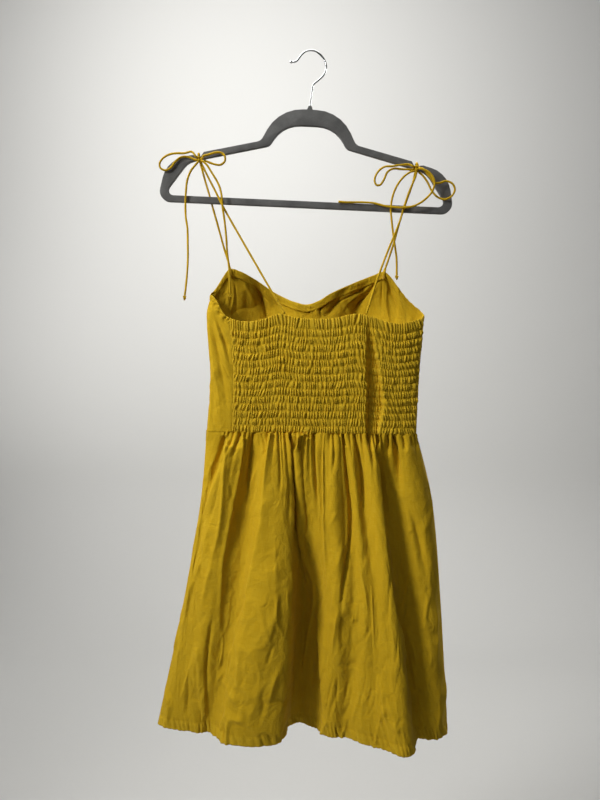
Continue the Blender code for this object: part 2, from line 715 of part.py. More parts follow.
CORDS = (
    Cord("strap_front_left", "left", (118, -28), (
        (-167.4, -5.0, -158.4), (-167.5, -0.2, -155.4), (-167.3, 5.2, -158.4), (-166.6, 6.0, -165.0),
        (-160.5, 5.4, -188.0), (-152.2, 5.4, -217.0), (-146.4, 5.6, -238.0), (-139.8, 8.8, -262.0),
        (-131.4, 13.8, -293.5), (-124.0, 15.4, -318.0), (-122.8, 15.6, -324.2))),
    Cord("strap_back_left", "left", (-72, -24), (
        (-158.5, -6.4, -181.0), (-149.4, -5.6, -199.0), (-136.6, -5.2, -224.0), (-128.6, -6.4, -240.0),
        (-98.6, -11.6, -293.5), (-66.0, -18.8, -350.6), (-37.4, -23.9, -400.6))),
    Cord("tail_long_left", "left", (-122, 20), (
        (-170.8, -9.4, -175.6), (-178.2, -8.6, -184.6), (-183.8, -7.6, -199.0), (-186.0, -6.2, -216.0),
        (-186.8, -5.6, -232.0), (-186.2, -6.4, -252.0), (-183.4, -7.8, -270.0), (-182.8, -8.2, -292.0),
        (-182.6, -8.0, -316.0), (-184.0, -7.6, -340.0), (-187.4, -7.2, -371.0)), None, "end_knot_left_outer"),
    Cord("tail_inner_left", "left", (-45, 34), (
        (-154.4, -12.8, -176.0), (-145.8, -12.2, -189.0), (-136.0, -11.4, -206.0), (-132.0, -11.0, -220.0),
        (-130.8, -10.6, -236.0), (-127.6, -9.6, -258.0), (-125.2, -6.6, -284.0), (-124.2, -4.4, -304.0),
        (-121.2, -1.6, -333.0), (-120.2, -0.6, -368.0)), None, "end_knot_left_inner"),
    Cord("loop_outer_left", "left", (152, 30), (
        (-176.4, -10.6, -156.6), (-187.6, -10.2, -158.6), (-198.6, -9.4, -158.2), (-209.4, -8.8, -159.6),
        (-219.0, -8.2, -164.4), (-225.2, -7.4, -172.6), (-224.0, -6.6, -179.4), (-217.0, -6.0, -182.4),
        (-209.2, -5.8, -179.0), (-202.0, -5.6, -169.4), (-193.0, -5.4, -162.4), (-183.0, -5.6, -162.2)),
        (178, -26)),
    Cord("loop_inner_left", "left", (38, 16), (
        (-152.4, -8.4, -160.2), (-142.0, -7.6, -156.6), (-133.0, -7.2, -156.6), (-127.4, -7.0, -161.8),
        (-127.6, -6.8, -169.6), (-134.0, -6.8, -174.6), (-143.6, -7.0, -173.6)), (-14, -6)),
    Cord("strap_front_right", "right", (72, -28), (
        (162.2, -5.0, -173.0), (162.0, -0.2, -169.8), (161.8, 5.2, -172.8), (161.2, 6.0, -179.6),
        (157.0, 3.2, -198.0), (149.6, -3.4, -218.4), (142.6, -5.2, -238.0), (137.4, -2.8, -254.0),
        (128.8, 7.6, -288.0), (119.0, 20.8, -320.6), (116.4, 22.4, -327.4))),
    Cord("strap_back_right", "right", (-98, 6), (
        (158.6, -8.8, -193.6), (149.6, -8.9, -215.0), (141.4, -9.2, -239.0), (134.4, -11.2, -262.0),
        (116.4, -15.8, -306.0), (100.4, -20.2, -348.0), (83.4, -23.8, -400.8))),
    Cord("tail_hanging_right", "right", (-143, 12), (
        (152.0, -9.6, -186.0), (141.0, -9.2, -193.6), (130.8, -8.0, -207.0), (124.2, -6.4, -224.6),
        (122.2, -5.8, -242.0), (123.6, -6.0, -260.0), (126.6, -6.6, -286.0), (130.4, -7.4, -314.0),
        (130.8, -7.8, -340.4)), None, "end_knot_right"),
    Cord("tail_bare_right", "right", (-24, 52), (
        (168.6, -14.6, -184.2), (177.6, -15.0, -189.0), (185.6, -15.2, -201.6), (183.4, -14.8, -215.6),
        (172.0, -14.0, -229.0), (158.4, -13.4, -237.4), (143.6, -12.8, -240.6), (128.6, -11.2, -239.8),
        (112.4, -7.6, -236.4), (96.6, -5.6, -231.8), (77.4, -5.2, -230.4), (56.0, -5.2, -230.2),
        (43.4, -5.2, -229.4))),
    Cord("loop_inner_right", "right", (158, 26), (
        (148.0, -11.0, -175.8), (136.0, -10.4, -176.2), (124.0, -9.8, -177.8), (112.6, -9.0, -178.4),
        (102.6, -8.2, -185.6), (97.6, -7.4, -197.6), (100.4, -6.8, -205.0), (106.0, -6.2, -204.6),
        (111.6, -5.8, -197.0), (117.6, -5.4, -184.6), (126.0, -5.2, -179.8), (138.0, -5.4, -180.6),
        (149.0, -5.6, -181.2)), (182, -28)),
    Cord("loop_outer_right", "right", (-44, -30), (
        (168.6, -5.4, -188.4), (177.0, -5.4, -199.4), (184.0, -5.6, -213.4), (192.0, -6.2, -222.6),
        (203.0, -7.0, -226.4), (212.8, -8.0, -222.4), (217.8, -8.8, -213.0), (214.4, -9.4, -204.4),
        (204.6, -9.8, -200.0), (194.6, -10.0, -203.0), (187.0, -10.2, -202.6), (180.0, -10.4, -194.0),
        (172.4, -10.2, -184.6)), (0, 10)),
)


def make_cords(cloth):
    """The four ties: straps, bow loops and tails, with their knots."""
    for side, centre in KNOTS.items():
        bead(f"bow_knot_{side}", centre, KNOT_HALF, cloth)
    for cord in CORDS:
        root, start = knot_exit(cord.side, *cord.leave)
        route = [start] + [Vector(point) for point in cord.route]
        ends = []
        if cord.comes_back:
            end, last = knot_exit(cord.side, *cord.comes_back)
            route.append(last)
            ends = [end]
        points = [root] + curve_through(route, 3.0 * CORD, 1.2 * CORD) + ends
        tube(cord.name, points, CORD, 2, cloth)
        if cord.end_knot:
            down = (route[-1] - route[-2]).normalized()
            bead(cord.end_knot, route[-1] + down * (END_KNOT_HALF.z + SEAM_GAP), END_KNOT_HALF, cloth)


def paint(name, colour, roughness, metallic=0.0):
    material = bpy.data.materials.new(name)
    material.use_nodes = True
    shader = material.node_tree.nodes["Principled BSDF"]
    shader.inputs["Base Color"].default_value = (*colour, 1.0)
    shader.inputs["Roughness"].default_value = roughness
    shader.inputs["Metallic"].default_value = metallic
    return material


def main():
    for thing in list(bpy.data.objects):
        bpy.data.objects.remove(thing)
    cloth = paint("mustard_cotton", (0.40, 0.23, 0.008), 0.85)
    flock = paint("grey_flock", (0.095, 0.095, 0.095), 0.95)
    chrome = paint("chrome_wire", (0.60, 0.60, 0.60), 0.15, 1.0)
    make_hanger_frame(flock)
    make_hook(chrome)
    make_shirred_back(cloth)
    make_bodice_front(cloth)
    make_facings(cloth)
    make_skirt(cloth)
    make_cords(cloth)


main()
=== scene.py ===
"""Mini dress on a hanger: its cloth, cords, knots, hanger finish, and a plain studio round it.

Lengths are in millimetres unless a name says otherwise, and become metres where a mesh is made.
+X is to the right of someone who sees the dress's back, +Y runs from its back to its front, +Z is up.
"""

import bisect
import math
from functools import lru_cache
from typing import NamedTuple

import bmesh
import bpy
from bpy.props import FloatProperty, FloatVectorProperty, IntProperty, PointerProperty
from mathutils import Matrix, Vector, noise


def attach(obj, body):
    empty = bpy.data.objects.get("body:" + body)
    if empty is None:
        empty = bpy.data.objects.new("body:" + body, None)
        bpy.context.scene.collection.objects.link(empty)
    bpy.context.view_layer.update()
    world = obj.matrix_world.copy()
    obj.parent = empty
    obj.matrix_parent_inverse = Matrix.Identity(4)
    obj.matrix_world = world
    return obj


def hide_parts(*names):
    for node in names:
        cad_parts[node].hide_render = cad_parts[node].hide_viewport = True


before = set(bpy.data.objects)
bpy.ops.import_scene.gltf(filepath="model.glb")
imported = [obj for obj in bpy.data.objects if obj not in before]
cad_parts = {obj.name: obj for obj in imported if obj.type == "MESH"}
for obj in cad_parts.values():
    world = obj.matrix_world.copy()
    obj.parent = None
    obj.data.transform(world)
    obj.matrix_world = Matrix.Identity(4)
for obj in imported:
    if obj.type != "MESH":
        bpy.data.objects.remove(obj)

bl_info = {
    "name": "Mini dress on a hanger",
    "version": (1, 0, 0),
    "blender": (4, 5, 0),
    "location": "3D View > Sidebar > Dress",
    "description": "Sews, shirrs and hangs a cotton mini dress round its fixed model",
    "category": "Add Mesh",
}

MM = 0.001
SEAM_OVERLAP = 0.4
CUP_SEAM_Z = -415.0
WAIST_Z = -577.5
WAIST_SLOPE = -0.018
HEM_Z = -1036.0
CORD = 3.2
CAMERA_PLACE = Vector((-14.4, -900.0, -528.0))
CAMERA_LENS = 26.75
CAMERA_SENSOR = 36.0


def linear(hex_colour):
    """An sRGB colour such as B69318 as linear red, green and blue."""
    channels = [int(hex_colour[k:k + 2], 16) / 255.0 for k in (0, 2, 4)]
    return [c / 12.92 if c <= 0.04045 else ((c + 0.055) / 1.055)**2.4 for c in channels]


def length_property(name, description, default_mm):
    return FloatProperty(name=name, description=description, default=default_mm * MM, min=0.0,
                         unit="LENGTH", precision=5)


def colour_property(name, description, hex_colour):
    return FloatVectorProperty(name=name, description=description, default=linear(hex_colour),
                               size=3, min=0.0, max=1.0, subtype="COLOR")


class DressClothSettings(bpy.types.PropertyGroup):
    thickness: length_property("Cotton thickness", "Thickness of the plain-weave cotton", 0.55)
    pucker_height: length_property("Pucker height", "How far the shirred puckers stand out", 3.0)
    puckers: IntProperty(name="Puckers", description="Puckers across the shirred back", default=66, min=10)
    shirring_rows: IntProperty(name="Shirring rows", description="Elastic rows down the back",
                               default=15, min=2)
    hem_depth: length_property("Hem depth", "Height of the folded and stitched hem", 14.0)
    crumple: length_property("Crumple", "Height of the creases left by wear", 1.0)
    cotton: colour_property("Cotton", "Colour of the dyed cotton", "BE9810")
    # The paler cotton: slubs, wear at edges and seams, and the painted highlight on the shirred puckers'
    # tops.
    cotton_pale_and_highlight: colour_property("Faded cotton", "Colour where the cotton has worn pale", "C9A92A")
    thread: colour_property("Sewing thread", "Colour of the stitching", "A8820F")


class DressHangerSettings(bpy.types.PropertyGroup):
    edge_round: length_property("Rounded edge", "Radius along the flocked frame's edges", 1.3)
    flock: colour_property("Flock", "Colour of the velvet flocking", "646463")
    chrome: colour_property("Chrome", "Tint of the plated wire", "C4C6C8")


class DressStageSettings(bpy.types.PropertyGroup):
    paint: colour_property("Backdrop", "Colour of the floor and backdrop", "D4D4D2")
    key_power: FloatProperty(name="Key light", description="Power of the main soft light",
                             default=5.4, min=0.0, unit="POWER")
    fill_power: FloatProperty(name="Fill light", description="Power of the soft light on the right",
                              default=0.1, min=0.0, unit="POWER")
    sky: FloatProperty(name="Sky", description="Strength of the even light all round",
                       default=0.02, min=0.0)


class Girth(NamedTuple):
    """The bodice's plan at one height: a flattened oval, deeper on one side."""
    z: float
    centre: float
    half_width: float
    back: float
    front: float


GIRTHS = (
    Girth(-320, 5.0, 151.0, 25.0, 18.0),
    Girth(-370, 6.5, 155.5, 25.0, 18.0),
    Girth(-400, 8.0, 163.4, 25.0, 18.0),
    Girth(-490, 7.8, 157.8, 22.0, 15.0),
    Girth(-578, 3.0, 158.7, 15.0, 13.0),
)
GIRTH_ROUNDNESS = 3.4


class Edge(NamedTuple):
    """The bodice's top edge: height at a share of the way round, from the left side by the back."""
    round: float
    z: float


TOP_EDGE_START = (
    Edge(-0.049, -326), Edge(-0.0375, -334), Edge(-0.025, -348), Edge(-0.0125, -361), Edge(0.000, -368),
    Edge(0.020, -372), Edge(0.037, -382), Edge(0.062, -404), Edge(0.104, -412),
)
# The start comes again at the end, one whole way round later
TOP_EDGE = (
    *TOP_EDGE_START, Edge(0.143, -408), Edge(0.174, -401), Edge(0.210, -407), Edge(0.284, -408),
    Edge(0.338, -401), Edge(0.372, -406), Edge(0.421, -415), Edge(0.459, -411), Edge(0.500, -398),
    Edge(0.525, -377), Edge(0.550, -349), Edge(0.5625, -337), Edge(0.577, -329.5), Edge(0.601, -334),
    Edge(0.637, -342), Edge(0.675, -352), Edge(0.7125, -364), Edge(0.737, -374), Edge(0.767, -380),
    Edge(0.800, -374), Edge(0.813, -370), Edge(0.850, -357), Edge(0.875, -346), Edge(0.900, -337),
    Edge(0.925, -329.5), *(Edge(edge.round + 1.0, edge.z) for edge in TOP_EDGE_START),
)

# Seams of the bodice, as shares of the way round
BACK_LEFT_SEAM = 0.068
BACK_RIGHT_SEAM = 0.488
RIGHT_SIDE_SEAM = 0.545
RIGHT_CUP_SEAM = 0.58
CENTRE_FRONT = 0.758
LEFT_CUP_SEAM = 0.941
LEFT_SIDE_SEAM = 0.985
# The whole way round
GIRTH_LENGTH = 700.0


class Cup(NamedTuple):
    """A bust cup: the middle of its swell, how far it stands out and how wide it is."""
    x: float
    z: float
    swell: float
    width: float
    height: float


CUPS = (Cup(-70, -388, 24, 44, 48), Cup(84, -388, 24, 44, 48))


class Crease(NamedTuple):
    """A crease from its upper end to its lower end: how far it moves the cloth, and how wide it is."""
    x_top: float
    z_top: float
    x_low: float
    z_low: float
    depth: float
    width: float


# The folds pressed into the cups, as deep in the cloth as in the solids under it
CUP_FOLDS = (
    Crease(-80, -350, -62, -404, 5.0, 8.0),
    Crease(-52, -370, -34, -400, 3.0, 8.0),
    Crease(57, -354, 32, -392, 3.0, 8.0),
    Crease(88, -350, 70, -404, 5.0, 8.0),
    Crease(124, -350, 132, -404, 4.0, 8.0),
)


class Trough(NamedTuple):
    """The deep fold down the shirred back: its right border and depth at one height."""
    z: float
    right: float
    depth: float


TROUGH_LEFT = 82.0
TROUGH = (
    Trough(-408, 86, 0.0), Trough(-450, 95, 6.0), Trough(-508, 105, 8.0), Trough(-533, 108, 8.0),
    Trough(-564, 103, 7.0), Trough(-582, 100, 6.0),
)
# The width over which the trough's right side rises, and how many times its depth it is sunk
TROUGH_RISE = 3.5
TROUGH_DEEPER = 1.35
# The height of the ruffled header above the elastic rows, counted in rows
SHIR_HEADER = 1.45


class Fold(NamedTuple):
    """A line down the skirt: a label, then where it lies and how near, at the waist and 3 levels below."""
    name: str
    x_waist: float
    x_upper: float
    x_middle: float
    x_hem: float
    y_waist: float
    y_upper: float
    y_middle: float
    y_hem: float


FOLD_HEIGHTS = (0.0, 0.22, 0.55, 1.0)
BACK_FOLDS = (
    Fold("side_seam_left", -156, -165, -192, -238, 2, 8, 20, 36),
    Fold("plain_side", -139, -159, -186, -227, -10, -3, 8, 23),
    Fold("behind_ridge_a", -124, -153, -181, -205, -12, -6, 4, 15),
    Fold("ridge_a_edge", -115, -143, -170, -184, -19, -19, -5, 10),
    Fold("ridge_a", -103, -123, -146, -167, -20, -24, -17, 5),
    Fold("valley_a", -88, -101, -123, -154, -12, -11, -12, 10),
    Fold("valley_a_floor", -73, -84, -106, -142, -13, -12, -14, -3),
    Fold("ridge_b_edge", -60, -69, -92, -127, -20, -29, -32, -19),
    Fold("ridge_b", -51, -49, -66, -100, -21, -34, -44, -28),
    Fold("ridge_b_flank", -42, -36, -42, -67, -20, -32, -43, -29),
    Fold("ridge_b_fall", -33, -26, -24, -40, -16, -23, -33, -19),
    Fold("deep_valley", -25, -20, -17, -30, -11, -6, 3, 22),
    Fold("valley_floor", -17, -12, -8, -16, -9, 0, 17, 36),
    Fold("valley_rise", -7, 0, 7, 0, -16, -11, 8, 27),
    Fold("small_ridge", 6, 11, 17, 13, -19, -19, -4, 18),
    Fold("centre_crease", 20, 21, 27, 22, -16, -20, -18, 1),
    Fold("ridge_c_start", 34, 37, 43, 36, -21, -28, -30, -6),
    Fold("valley_c", 48, 58, 64, 55, -14, -18, -25, -6),
    Fold("ridge_c_mid", 59, 69, 80, 76, -20, -27, -34, -22),
    Fold("valley_d", 71, 81, 94, 95, -14, -20, -35, -29),
    Fold("ridge_c_rise", 83, 94, 108, 111, -21, -32, -43, -38),
    Fold("ridge_c_crest", 93, 104, 119, 128, -20, -32, -46, -52),
    Fold("ridge_c_edge", 100, 111, 129, 148, -16, -24, -37, -48),
    Fold("right_valley", 108, 116, 136, 160, -9, -4, -6, -10),
    Fold("shadow_floor", 124, 130, 148, 172, -12, -5, -4, -8),
    Fold("right_ridge", 140, 151, 168, 186, -17, -15, -13, -10),
    Fold("right_flank", 154, 172, 185, 200, -10, -12, -11, -4),
    Fold("side_seam_right", 162, 186, 200, 213, 0, 3, 8, 19),
)
# The front's folds: how far out they lie and how high they wave, at the same four heights
FRONT_FOLDS = 14
FRONT_DEPTHS = (13.0, 22.0, 36.0, 52.0)
FRONT_WAVES = (0.5, 2.5, 6.0, 8.0)
BACK_SPAN = len(BACK_FOLDS) - 1
RING_SPAN = len(BACK_FOLDS) + FRONT_FOLDS
# From one fold line to the next, at the waist and along the hem
FOLD_PITCH = 12.0
HEM_PITCH = 22.0
SKIRT_LAP = 1.5
HEM_PUCKER = 12.0


def smooth(value):
    """An eased step from 0 to 1."""
    value = min(max(value, 0.0), 1.0)
    return value * value * (3.0 - 2.0 * value)


def bump(distance, width):
    """A soft hill: 1 at no distance, fading over the width."""
    return math.exp(-(distance / width)**2)


def cubic(knots, values, at):
    """A smooth curve through values at rising knots, level beyond the ends."""
    last = len(knots) - 1
    if at <= knots[0]:
        return values[0]
    if at >= knots[last]:
        return values[last]
    i = bisect.bisect_right(knots, at) - 1

    def slope(k):
        low, high = max(k - 1, 0), min(k + 1, last)
        return (values[high] - values[low]) / (knots[high] - knots[low])

    step = knots[i + 1] - knots[i]
    t = (at - knots[i]) / step
    return ((2 * t**3 - 3 * t**2 + 1) * values[i] + (t**3 - 2 * t**2 + t) * step * slope(i)
            + (3 * t**2 - 2 * t**3) * values[i + 1] + (t**3 - t**2) * step * slope(i + 1))


def column(rows, field):
    return [getattr(row, field) for row in rows]


def uneven(n, seed):
    """A fixed value between -1 and 1 that looks unordered as n grows."""
    return math.sin(n * 12.9898 + seed * 4.137) * math.cos(n * 4.1414 + seed * 7.77)


def rumple(u, v, seed):
    """Smooth noise between about -1 and 1."""
    return noise.noise(Vector((u, v, seed * 7.31)))


def waist_z(x):
    return WAIST_Z + WAIST_SLOPE * x


TOP_ROUNDS = column(TOP_EDGE, "round")
TOP_HEIGHTS = column(TOP_EDGE, "z")
GIRTH_DEPTHS = [-girth.z for girth in GIRTHS]
TROUGH_DEPTHS = [-trough.z for trough in TROUGH]
OVAL_STEPS = 160
LEVELS_PER_MM = 5


@lru_cache(maxsize=None)
def oval_quarter_line(half_width, depth):
    """A quarter of the bodice's oval, from its end to its middle, and the length up to each point."""
    power = 2.0 / GIRTH_ROUNDNESS
    points = []
    for k in range(OVAL_STEPS + 1):
        angle = 0.5 * math.pi * k / OVAL_STEPS
        points.append((half_width * max(math.cos(angle), 0.0)**power, depth * math.sin(angle)**power))
    lengths = [0.0]
    for first, second in zip(points, points[1:]):
        lengths.append(lengths[-1] + math.dist(first, second))
    return points, lengths


@lru_cache(maxsize=None)
def girth_level(level):
    """Centre, half width, back depth and front depth of the bodice at a fine level of height."""
    return [cubic(GIRTH_DEPTHS, column(GIRTHS, field), -level / LEVELS_PER_MM)
            for field in Girth._fields[1:]]


def oval_quarter(half_width, depth, share):
    """A point at a share of the arc from an oval's end (0) to its middle (1)."""
    points, lengths = oval_quarter_line(half_width, depth)
    target = share * lengths[-1]
    k = min(bisect.bisect_right(lengths, target), OVAL_STEPS) - 1
    blend = (target - lengths[k]) / (lengths[k + 1] - lengths[k])
    return [a + (b - a) * blend for a, b in zip(points[k], points[k + 1])]


def back_relief(x, z):
    """How far the shirred back lies in from its oval: the trough and the proud fold beside it."""
    right = cubic(TROUGH_DEPTHS, column(TROUGH, "right"), -z)
    depth = cubic(TROUGH_DEPTHS, column(TROUGH, "depth"), -z)
    beyond = smooth((x - right) / TROUGH_RISE)
    inside = smooth((x - TROUGH_LEFT) / 6.0) * (1.0 - beyond)
    beside = beyond * math.exp(-max(x - right, 0.0) / 40.0)
    return depth * (TROUGH_DEEPER * inside - 0.4 * beside)


def crease_height(creases, x, z):
    """The sum of the creases at a spot, each fading softly past its ends."""
    total = 0.0
    for crease in creases:
        t = (z - crease.z_top) / (crease.z_low - crease.z_top)
        if -0.3 < t < 1.4:
            line_x = crease.x_top + (crease.x_low - crease.x_top) * t
            fade = smooth((t + 0.3) / 0.5) * smooth((1.4 - t) / 0.5)
            total += crease.depth * fade * bump(x - line_x, crease.width)
    return total


def cup_relief(x, z):
    """How far the cups stand out from the front's oval, with their folds."""
    swell = sum(cup.swell * bump(x - cup.x, cup.width) * bump(z - cup.z, cup.height) for cup in CUPS)
    return swell + crease_height(CUP_FOLDS, x, z)


def bodice_point(round_share, z):
    """A point on the bodice's outside: round_share 0 left side, 0.25 back, 0.5 right side, 0.75 front."""
    centre, half_width, back, front = girth_level(round(z * LEVELS_PER_MM))
    quarter, share = divmod((round_share % 1.0) * 4.0, 1.0)
    toward_middle = quarter in (0, 2)
    on_back = quarter < 2
    x, y = oval_quarter(half_width, back if on_back else front, share if toward_middle else 1.0 - share)
    on_left = quarter in (0, 3)
    x = centre - x if on_left else centre + x
    y = -y + back_relief(x, z) if on_back else y + cup_relief(x, z)
    return Vector((x, y, z))


def top_edge_z(round_share):
    return cubic(TOP_ROUNDS, TOP_HEIGHTS, round_share)


def lapped(start, end, lap, across):
    """A place between two seams, when the panel laps each of them a little."""
    return start - lap + (end - start + 2.0 * lap) * across


def bodice_surface(start, end, *levels):
    """A surface over one bodice panel: across from seam to seam, down one unit from level to level."""
    def surface(across, down):
        share = lapped(start, end, SEAM_OVERLAP / GIRTH_LENGTH, across)
        step = min(int(down), len(levels) - 2)
        high, low = levels[step](share), levels[step + 1](share)
        return bodice_point(share, high + (low - high) * (down - step))

    return surface


@lru_cache(maxsize=None)
def above_waist(share):
    x = bodice_point(share, WAIST_Z).x
    return waist_z(x) - SEAM_OVERLAP + 0.5 * rumple(share * 40.0, 0.0, 9)


def above_cup_seam(share):
    return CUP_SEAM_Z - SEAM_OVERLAP


def below_cup_seam(share):
    return CUP_SEAM_Z + SEAM_OVERLAP


def front_fold(number):
    """A fold line on the skirt's front, worked out between the two side seams."""
    t = number / (FRONT_FOLDS + 1)
    start, end = BACK_FOLDS[-1], BACK_FOLDS[0]
    spread = 0.5 * t + 0.5 * (0.5 - 0.5 * math.cos(math.pi * t))
    crown = 1.0 - abs(2.0 * t - 1.0)**3.5
    wave = math.cos(math.pi * number) * (1.0 + 0.35 * uneven(number, 3))
    values = []
    for k in range(4):
        x_start, x_end = start[1 + k], end[1 + k]
        values.append(x_start + (x_end - x_start) * spread + 0.5 * FRONT_WAVES[k] * uneven(number, 5))
    for k in range(4):
        y_seam = start[5 + k] + (end[5 + k] - start[5 + k]) * t
        values.append(y_seam + (FRONT_DEPTHS[k] - y_seam) * crown + FRONT_WAVES[k] * crown * (1.0 + wave))
    return Fold(f"front_{number}", *values)


FOLDS = BACK_FOLDS + tuple(front_fold(number) for number in range(1, FRONT_FOLDS + 1))


@lru_cache(maxsize=None)
def fold_row(down):
    """Where every fold line lies at one height of the skirt."""
    return [(cubic(FOLD_HEIGHTS, fold[1:5], down), cubic(FOLD_HEIGHTS, fold[5:9], down)) for fold in FOLDS]


def waist_oval_y(x, on_back):
    """Where the bodice's lower edge lies at x."""
    centre, half_width, back, front = girth_level(round(WAIST_Z * LEVELS_PER_MM))
    share = max(0.0, 1.0 - abs((x - centre) / half_width)**GIRTH_ROUNDNESS)**(1.0 / GIRTH_ROUNDNESS)
    return back_relief(x, WAIST_Z) - back * share if on_back else front * share


# The share of the skirt's length over which it leaves the bodice's outline
JOIN_DEPTH = 0.06


def skirt_point(around, down):
    """A point on the skirt's outside: around counts fold lines from the left seam, down runs 0 to 1."""
    first = math.floor(around)
    t = around - first
    row = fold_row(down)
    places = [row[(first + k) % RING_SPAN] for k in (-1, 0, 1, 2)]
    weights = (-0.5 * t + t**2 - 0.5 * t**3, 1 - 2.5 * t**2 + 1.5 * t**3,
               0.5 * t + 2 * t**2 - 1.5 * t**3, -0.5 * t**2 + 0.5 * t**3)
    x = sum(w * place[0] for w, place in zip(weights, places))
    y = sum(w * place[1] for w, place in zip(weights, places))
    joined = 1.0 - smooth(down / JOIN_DEPTH)
    if joined:
        from_seam = min(abs(around), abs(around - BACK_SPAN), abs(around - RING_SPAN))
        joined *= smooth(from_seam / 0.25)
        y += (waist_oval_y(x, 0.0 < around < BACK_SPAN) - y) * joined
    top = waist_z(x) + SKIRT_LAP
    return Vector((x, y, top + (HEM_Z - top) * down))


def add_node(tree, kind, inputs=None, **settings):
    """Adds a node with its settings. An input is a value, or the output socket that feeds it."""
    node = tree.nodes.new(kind)
    for name, value in settings.items():
        setattr(node, name, value)
    for name, value in (inputs or {}).items():
        if isinstance(value, bpy.types.NodeSocket):
            tree.links.new(value, node.inputs[name])
        else:
            node.inputs[name].default_value = value
    return node


def new_material(name, **values):
    """A material with one Principled BSDF, whose sockets take the values given, and its node tree."""
    material = bpy.data.materials.new(name)
    material.use_nodes = True
    shader = material.node_tree.nodes["Principled BSDF"]
    for socket, value in values.items():
        shader.inputs[socket.replace("_", " ")].default_value = value
    return material, material.node_tree, shader


# Sizes of the materials' patterns, in millimetres
SLUB_WIDTH = 1.1
SLUB_LENGTH = 22.0
WEAVE_PITCH = 1.2
CRUMPLE_SIZE = 16.0
DYE_PATCH = 70.0
THREAD_TWIST = 1.1111
FLOCK_TUFT = 0.71429
FLOCK_BRUSHED = 18.182
HANDLING_MARK = 3.125
ROLLER_STIPPLE = 11.111


@lru_cache(maxsize=None)
def plain_weave_cotton(name, follows_cloth):
    """Garment-dyed plain-weave cotton: matte, faintly uneven in thickness, softly creased all over.

    Slubs, the thicker lengths of spun thread, give it short paler and darker streaks along warp and
    weft. Its threads are 0.4 mm apart, too fine to show, so the weave is drawn three times as coarse.
    """
    cloth = bpy.context.scene.dress_cloth
    material, tree, shader = new_material(name, Roughness=0.9, Specular_IOR_Level=0.15, Sheen_Weight=0.04,
                                          Sheen_Roughness=0.5, Sheen_Tint=(1.0, 0.82, 0.35, 1.0))
    coords = add_node(tree, "ShaderNodeTexCoord").outputs["UV" if follows_cloth else "Object"]
    per_mm = 1.0 if follows_cloth else 1.0 / MM
    streaks = []
    for wide, tall in ((SLUB_WIDTH, SLUB_LENGTH), (SLUB_LENGTH, SLUB_WIDTH)):
        stretched = add_node(tree, "ShaderNodeMapping", {
            "Vector": coords, "Scale": (per_mm / wide, per_mm / tall, per_mm / tall)})
        streaks.append(add_node(tree, "ShaderNodeTexNoise", {
            "Vector": stretched.outputs[0], "Scale": 1.0, "Detail": 1.0}).outputs["Fac"])
    slub = add_node(tree, "ShaderNodeMath", {0: streaks[0], 1: streaks[1]}, operation="ADD")
    threads = []
    for direction in ("X", "Y"):
        threads.append(add_node(tree, "ShaderNodeTexWave", {
            "Vector": coords, "Scale": per_mm * 2.0 * math.pi / (20.0 * WEAVE_PITCH)},
            bands_direction=direction).outputs["Fac"])
    weave = add_node(tree, "ShaderNodeMath", {0: threads[0], 1: threads[1]}, operation="MULTIPLY")
    creased = add_node(tree, "ShaderNodeTexNoise", {
        "Vector": coords, "Scale": per_mm / CRUMPLE_SIZE, "Detail": 5.0, "Roughness": 0.55,
        "Distortion": 0.6})
    cloudy = add_node(tree, "ShaderNodeTexNoise", {
        "Vector": coords, "Scale": per_mm / DYE_PATCH, "Detail": 2.0})
    # Paler where the attribute set by the reliefs is high: wear along edges and seams, and a painted
    # highlight on the shirred puckers' tops.
    worn = add_node(tree, "ShaderNodeAttribute", attribute_name="worn")
    fade = add_node(tree, "ShaderNodeMapRange", {
        "Value": slub.outputs[0], "From Min": 0.75, "From Max": 1.3, "To Min": 0.0, "To Max": 0.5})
    fade = add_node(tree, "ShaderNodeMath", {0: fade.outputs[0], 1: worn.outputs["Fac"]}, operation="ADD",
                    use_clamp=True)
    dyed_with_wear_and_highlight = add_node(tree, "ShaderNodeMix", {
        0: fade.outputs[0], 6: (*cloth.cotton, 1.0), 7: (*cloth.cotton_pale_and_highlight, 1.0)}, data_type="RGBA")
    deeper = [channel * 0.88 for channel in cloth.cotton]
    patchy = add_node(tree, "ShaderNodeMapRange", {
        "Value": cloudy.outputs["Fac"], "From Min": 0.4, "From Max": 0.7, "To Min": 0.0, "To Max": 0.35})
    colour = add_node(tree, "ShaderNodeMix", {
        0: patchy.outputs[0], 6: dyed_with_wear_and_highlight.outputs[2], 7: (*deeper, 1.0)}, data_type="RGBA")
    tree.links.new(colour.outputs[2], shader.inputs["Base Color"])
    big = add_node(tree, "ShaderNodeBump", {
        "Height": creased.outputs["Fac"], "Strength": 0.8, "Distance": 3.0 * MM})
    streaky = add_node(tree, "ShaderNodeBump", {
        "Height": slub.outputs[0], "Strength": 0.6, "Distance": 0.5 * MM, "Normal": big.outputs[0]})
    fine = add_node(tree, "ShaderNodeBump", {
        "Height": weave.outputs[0], "Strength": 0.3, "Distance": 0.3 * MM, "Normal": streaky.outputs[0]})
    tree.links.new(fine.outputs[0], shader.inputs["Normal"])
    return material


def mottled_material(name, colour, paler_by, size, detail, **values):
    """A material mottled between its colour and a paler one, in patches of a size in millimetres."""
    material, tree, shader = new_material(name, **values)
    coords = add_node(tree, "ShaderNodeTexCoord").outputs["Object"]
    mottle = add_node(tree, "ShaderNodeTexNoise", {
        "Vector": coords, "Scale": 1.0 / (size * MM), "Detail": detail})
    paler = [min(1.0, channel * paler_by) for channel in colour]
    mixed = add_node(tree, "ShaderNodeMix", {
        0: mottle.outputs["Fac"], 6: (*colour, 1.0), 7: (*paler, 1.0)}, data_type="RGBA")
    tree.links.new(mixed.outputs[2], shader.inputs["Base Color"])
    return material


